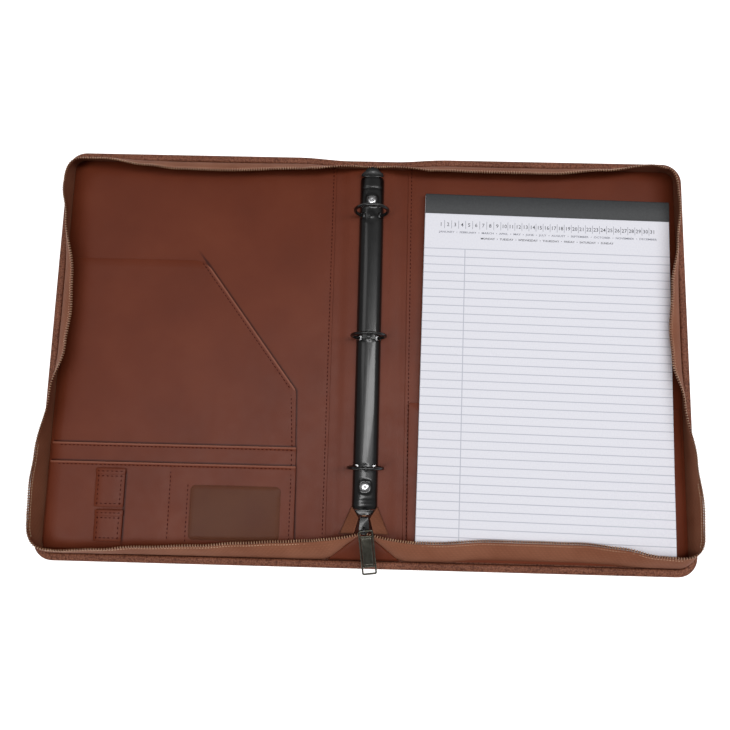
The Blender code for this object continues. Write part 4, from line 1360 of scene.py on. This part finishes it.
def housing_point(angle, y):
    end = y - HOUSING_Y[0]
    brink = min(HOUSING_Y[1] - y, end)
    half = HOUSING_HALF - 0.4 * (1 - ease(brink / 1.6))
    rise = HOUSING_RISE - 0.9 * (1 - ease(end / 9)) - 0.5 * (1 - ease(brink / 1.2))
    x, z = half * math.cos(angle), rise * math.sin(angle)
    return Vector((x, y, HOUSING_FOOT + z + pressed(x, y) * math.sin(angle)))


shape = bmesh.new()
ys = [HOUSING_Y[0], -127.7] + [n - 0.3 for n in range(-127, 157)] + [156.2, HOUSING_Y[1]]
SLOT_HALF, SLOT_START, SLOT_FOOT = 2.0, 5.7, 0.9
angles = [math.pi * k / 36 for k in range(37)]
grid = [[shape.verts.new(housing_point(a, y)) for a in angles] for y in ys]
for i in range(len(ys) - 1):
    for j in range(len(angles) - 1):
        corners = (grid[i][j], grid[i + 1][j], grid[i + 1][j + 1], grid[i][j + 1])
        centre = sum((v.co for v in corners), Vector()) / 4
        by_ring = any(abs(centre.y - y) < SLOT_HALF for y in RING_Y)
        if not (by_ring and abs(centre.x) > SLOT_START and centre.z > HOUSING_FOOT + SLOT_FOOT):
            shape.faces.new(corners)
loose = [v for v in shape.verts if not v.link_faces]
bmesh.ops.delete(shape, geom=loose, context="VERTS")
bmesh.ops.recalc_face_normals(shape, faces=shape.faces)
top_face = max(shape.faces, key=lambda f: f.calc_center_median().z)
if top_face.normal.z < 0:
    bmesh.ops.reverse_faces(shape, faces=shape.faces)
housing = make_piece(shape, "ring_housing_cover", enamelled_steel, crease_angle=50, turn_out=False)
bake_modifiers(thickened(housing, HOUSING_WALL))
place(housing, "spine", "black_steel", "ring_housing")

# %% [markdown]
# Each rivet is turned nickel-plated steel: a broad low head with a dimple from the press.

# %% Rivets
RIVET = (
    (1.6, -7.0), (1.6, 0.0), (3.5, 0.0), (3.7, 0.3), (3.6, 0.75), (3.1, 1.2), (2.3, 1.5), (1.5, 1.6),
    (0.95, 1.5), (0.6, 1.1), (0.2, 0.95),
)
RIVET_BASE = 12.75
for name, y in zip(("bottom", "top"), RIVET_Y):
    shape = bmesh.new()
    turns = [math.tau * k / 36 for k in range(36)]
    loft(shape, [[(r * math.cos(a), y + r * math.sin(a), RIVET_BASE + z) for a in turns] for r, z in RIVET])
    settle(shape, "rivet_head_" + name, nickel_plate, "spine", "bright_steel", "rivet_" + name, crease=35)

# %% [markdown]
# The rings are round wire, enamelled with the rest. Each half runs from its rail, out through a slot,
# and up to a mitred joint at the top, where it has a short narrow neck.

# %% Rings
RING_Z, RING_RADIUS, RING_WIRE = 20.5, 13.9, 1.4
RING_GAP, RING_SWEEP = 0.011, math.radians(145)
for side, half_name in ((-1, "left"), (1, "right")):
    for name, y in zip(("bottom", "middle", "top"), RING_Y):
        rings = []
        for k in range(61):
            angle = math.pi / 2 - RING_GAP - (RING_SWEEP - RING_GAP) * k / 60
            out = Vector((side * math.cos(angle), 0, math.sin(angle)))
            thin = RING_WIRE * (0.86 + 0.14 * ease(k / 2))
            centre = Vector((0, y, RING_Z)) + out * RING_RADIUS
            turns = [math.tau * n / 16 for n in range(16)]
            rings.append([centre + out * thin * math.cos(t) + Vector((0, thin * math.sin(t), 0)) for t in turns])
        shape = bmesh.new()
        loft(shape, rings)
        settle(
            shape, f"{half_name}_wire_ring_{name}", enamelled_steel, half_name + "_rings", "black_steel",
            f"{half_name}_ring_{name}", crease=50,
        )

# %% [markdown]
# A lever at each end works the rings. It is a pressed tab that comes out from under the housing,
# widens into shoulders, and narrows to a rounded tip with a slight crown.

# %% Levers
def lever_half_width(run, reach, shoulder):
    """Half the lever's width at a distance out from the housing's end."""
    if run < 0.4:
        return 3.8
    if run < 1.9:
        return 3.8 + (shoulder - 3.8) * ease((run - 0.4) / 0.5)
    t = (run - 1.9) / (reach - 1.9)
    return shoulder - (shoulder - 4.8) * ease(t / 0.8) - 3.0 * max(0.0, (t - 0.72) / 0.28) ** 2


def lever_height(run):
    return 8.6 + 1.9 * ease((run + 3) / 4) + 0.7 * ease((run - 2) / 5)


def make_lever(end, edge, direction, reach, shoulder):
    shape = bmesh.new()
    grid = []
    for run in span(-7.5, 0.4, 0.8) + span(0.4, 1.9, 0.3)[1:] + span(1.9, reach, 0.35)[1:]:
        half = lever_half_width(run, reach, shoulder)
        row = []
        for k in range(13):
            u = k / 6 - 1
            crown = 0.55 * u * u * ease(run / 2)
            row.append(shape.verts.new((half * u, edge + direction * run, lever_height(run) - crown)))
        grid.append(row)
    net(shape, grid)
    made = make_piece(shape, end + "_lever_tab", enamelled_steel, crease_angle=50, turn_out=False)
    soft = thickened(made, 1.0).modifiers.new("soft edge", "BEVEL")
    soft.width = 0.3 * MM
    soft.segments = 3
    soft.limit_method = "ANGLE"
    place(bake_modifiers(made), end + "_lever", "black_steel", end + "_lever")


make_lever("top", HOUSING_Y[1], 1, reach=9.2, shoulder=9.6)
make_lever("bottom", HOUSING_Y[0], -1, reach=5.0, shoulder=7.4)

# %% [markdown]
# The pad is A4: a card, a block of pages, a ruled top sheet, and black paper tape folded over the
# head. It lies one degree off square, because nobody lines a pad up perfectly. Its pieces are made in
# the pad's own axes and then turned in their meshes.

# %% Pad
PAD_PLACE = Matrix.Translation((149.2, -8.9, 0)) @ Matrix.Rotation(math.radians(-1.0), 4, "Z")
PAD_HALF, PAD_END, BINDING_DEPTH = 105.0, 148.5, 16.6
BAND = PAD_END - BINDING_DEPTH


def pad_piece(shape, name, material, slot, node):
    bmesh.ops.transform(shape, matrix=PAD_PLACE, verts=shape.verts)
    settle(shape, name, material, "pad", slot, node)


shape = bmesh.new()
soft_slab(shape, box_outline(-PAD_HALF, PAD_HALF, -PAD_END, PAD_END, 1.0), 5.42, 6.2, edge=0.1)
pad_piece(shape, "pad_backing_card", greyboard, "card", "pad_card")

shape = bmesh.new()
# The leaves aren't cut quite true, so their edges step in and out by a tenth of a millimetre or two.
PAGES_FOOT, PAGES_TOP = 7.42, 10.4
page = box_outline(-PAD_HALF, PAD_HALF, -PAD_END, PAD_END, 0.6)
rings = []
for k in range(16):
    z = PAGES_FOOT + (PAGES_TOP - PAGES_FOOT) * k / 15
    shift = 0.16 * noise.noise(Vector((k * 1.7, 3.1, 0)))
    slope = 0.35 * (k / 15 - 0.5)
    rings.append([(p.x + shift, p.y + (slope if p.y < 0 else 0), z) for p in page])
loft(shape, rings)
pad_piece(shape, "pad_page_block", page_edges, "paper", "pad_pages")

shape = bmesh.new()
lip = PAD_END + 0.3
wrap = [
    (BAND - 0.2, 11.05), (lip - 0.3, 11.05), (lip, 10.8), (lip, 5.45), (lip + 0.42, 5.45), (lip + 0.42, 11.0),
    (lip + 0.1, 11.33), (lip - 0.4, 11.42), (BAND, 11.42), (BAND - 0.2, 11.3),
]
loft(shape, [[(x, y, z) for y, z in wrap] for x in span(-PAD_HALF, PAD_HALF, 6)])
pad_piece(shape, "pad_binding_tape", binding_tape, "binding", "pad_binding")

# %% [markdown]
# The top sheet's mesh has closer rows over its first three centimetres below the binding. Its UV
# map counts millimetres from its top left corner, which is where the ruling is measured from.

# %% Top sheet
SHEET_FOOT = -PAD_END + 0.2
shape = bmesh.new()
uv = shape.loops.layers.uv.new("UVMap")
xs = span(-PAD_HALF + 0.1, PAD_HALF - 0.1, 10)
ys = span(BAND - 0.1, BAND - 34, 2) + span(BAND - 34, SHEET_FOOT, 8)[1:]


def sheet_height(x, y):
    """The sheet's top: flat, with its free edge and corner lifted a hair."""
    t = (BAND - y) / (BAND + PAD_END)
    corner = ease((x / PAD_HALF - 0.4) / 0.6) * ease((t - 0.75) / 0.25)
    return 10.86 + 0.1 * noise.noise(Vector((x / 60, y / 60, 1))) * ease(t * 6) + 0.5 * corner


for drop in (0, 0.14):
    grid = [[shape.verts.new((x, y, sheet_height(x, y) - drop)) for x in xs] for y in ys]
    for above, below in zip(grid, grid[1:]):
        for j in range(len(xs) - 1):
            corners = [above[j], below[j], below[j + 1], above[j + 1]]
            shape.faces.new(corners[::-1] if drop else corners)
bmesh.ops.bridge_loops(shape, edges=[e for e in shape.edges if len(e.link_faces) == 1])
for polygon in shape.faces:
    for corner in polygon.loops:
        x, y, _ = corner.vert.co
        corner[uv].uv = ((x + PAD_HALF) / UV_SIZE, (BAND - y) / UV_SIZE)
bmesh.ops.transform(shape, matrix=PAD_PLACE, verts=shape.verts)


def settle_on_sheet(piece):
    """Bakes a piece's transform into its mesh, as for the top sheet and its heading."""
    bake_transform(piece)
    print(piece.name, "has", len(piece.data.polygons), "faces")
    return piece


top_sheet = settle_on_sheet(make_piece(shape, "pad_ruled_sheet", ruled_paper, crease_angle=60))
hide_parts("pad_top_sheet")

# %% [markdown]
# The heading is a generic calendar strip: the days of the month as numbers with thin bars between
# them, then the months, then the days of the week. It is real, flat lettering a few hundredths of a
# millimetre above the sheet, made as text, turned to mesh, and joined.

# %% Printed heading
def lettering(shape, words, size, x, y, thicken=0.0, width=None):
    """Adds flat text to a bmesh, standing on (x, y) on the pad and stretched to a width if given."""
    data = bpy.data.curves.new("heading", "FONT")
    data.body = words
    data.size = size
    data.align_x = "CENTER"
    data.offset = thicken
    data.resolution_u = 2
    holder = bpy.data.objects.new("heading", data)
    bpy.context.scene.collection.objects.link(holder)
    bpy.context.view_layer.update()
    mesh = bpy.data.meshes.new_from_object(holder.evaluated_get(bpy.context.evaluated_depsgraph_get()))
    stretch = width / (2 * max(v.co.x for v in mesh.vertices)) if width else 1.0
    for vert in mesh.vertices:
        px, py = vert.co.x * stretch + x, vert.co.y + y
        vert.co = (px, py, sheet_height(px, py) + 0.03)
    shape.from_mesh(mesh)
    bpy.data.objects.remove(holder)
    bpy.data.curves.remove(data)
    bpy.data.meshes.remove(mesh)


FIRST_DAY, DAY_STEP = -PAD_HALF + 13.9, 6.06
BAR_HALF, BAR_FOOT, BAR_TOP = 0.16, BAND - 13.2, BAND - 6.0
MONTHS = "JANUARY FEBRUARY MARCH APRIL MAY JUNE JULY AUGUST SEPTEMBER OCTOBER NOVEMBER DECEMBER"
WEEKDAYS = "MONDAY TUESDAY WEDNESDAY THURSDAY FRIDAY SATURDAY SUNDAY"
BULLET = "  \u2022  "

dark, pale = bmesh.new(), bmesh.new()
for day in range(31):
    x = FIRST_DAY + DAY_STEP * day
    lettering(dark, str(day + 1), 4.6, x, BAND - 11.2, thicken=0.02)
    if day < 30:
        left, right = (x + DAY_STEP / 2 + side * BAR_HALF for side in (-1, 1))
        ends = ((left, BAR_FOOT), (right, BAR_FOOT), (right, BAR_TOP), (left, BAR_TOP))
        pale.faces.new([pale.verts.new((px, py, sheet_height(px, py) + 0.03)) for px, py in ends])
lettering(pale, BULLET.join(MONTHS.split()), 2.4, 0.8, BAND - 17.2, thicken=0.03, width=187)
lettering(dark, BULLET.join(WEEKDAYS.split()), 2.5, 0.2, BAND - 22.2, thicken=0.03, width=114)
for shape, name, ink in ((dark, "pad_heading_dark", printing_ink), (pale, "pad_heading_pale", faint_ink)):
    bmesh.ops.transform(shape, matrix=PAD_PLACE, verts=shape.verts)
    settle_on_sheet(make_piece(shape, name, ink, turn_out=False))

# %% [markdown]
# What is left of the CAD model is hidden inside: foam, boards and rails. They keep their shapes and
# take real materials, so nothing plain shows when a cover is folded up.

# %% Finishes for the CAD nodes that stay
for material, names in (
    (foam, "front_foam back_foam spine_foam"), (greyboard, "front_board back_board spine_board"),
    (nickel_plate, "left_rail right_rail"),
):
    for name in names.split():
        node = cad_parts[name]
        node.data.materials.clear()
        node.data.materials.append(material)
print("CAD nodes still shown:", sorted(n for n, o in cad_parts.items() if not o.hide_render))

# %% [markdown]
# The setting is a plain white floor under a large soft light, with a key from the right that lays the
# highlight along the rings' cover, and a weak fill. The floor glows a little, as a lit backdrop does.
# The view transform is the plain one, so that white stays white and the paint-chart colours hold.

# %% Floor and light
bpy.context.scene.view_settings.view_transform = "Standard"
floor_material = make_plain(
    "matt_white_card", "#f4f4f4", "#f8f8f8", 300, 0.9, bump=0.02,
    Emission_Color=linear("#ffffff"), Emission_Strength=0.7,
)
shape = bmesh.new()
shape.faces.new([shape.verts.new((x * 3000, y * 3000, -0.3)) for x, y in ((-1, -1), (1, -1), (1, 1), (-1, 1))])
floor = make_piece(shape, "floor", floor_material, turn_out=False)

world = bpy.data.worlds.new("studio")
bpy.context.scene.world = world
world.use_nodes = True
background = world.node_tree.nodes["Background"]
background.inputs["Color"].default_value = linear("#ffffff")
background.inputs["Strength"].default_value = 0.2


def area_light(name, place_at, aim, width, length, power):
    """A soft box above the case; its width runs along X."""
    data = bpy.data.lights.new(name, "AREA")
    data.shape = "RECTANGLE"
    data.size = width
    data.size_y = length
    data.energy = power
    lamp = bpy.data.objects.new(name, data)
    lamp.location = place_at
    lamp.rotation_euler = (Vector(aim) - Vector(place_at)).to_track_quat("-Z", "Y").to_euler()
    bpy.context.scene.collection.objects.link(lamp)
    return lamp


area_light("overhead_light", (-0.36, -0.25, 1.5), (0, 0, 0), 0.4, 1.3, 9.6)
area_light("key_light", (0.7, 0.1, 1.3), (0.1, 0, 0), 0.3, 1.2, 8.7)
area_light("fill_light", (-0.9, 0.4, 1.3), (0, 0, 0), 0.6, 0.6, 1.5)
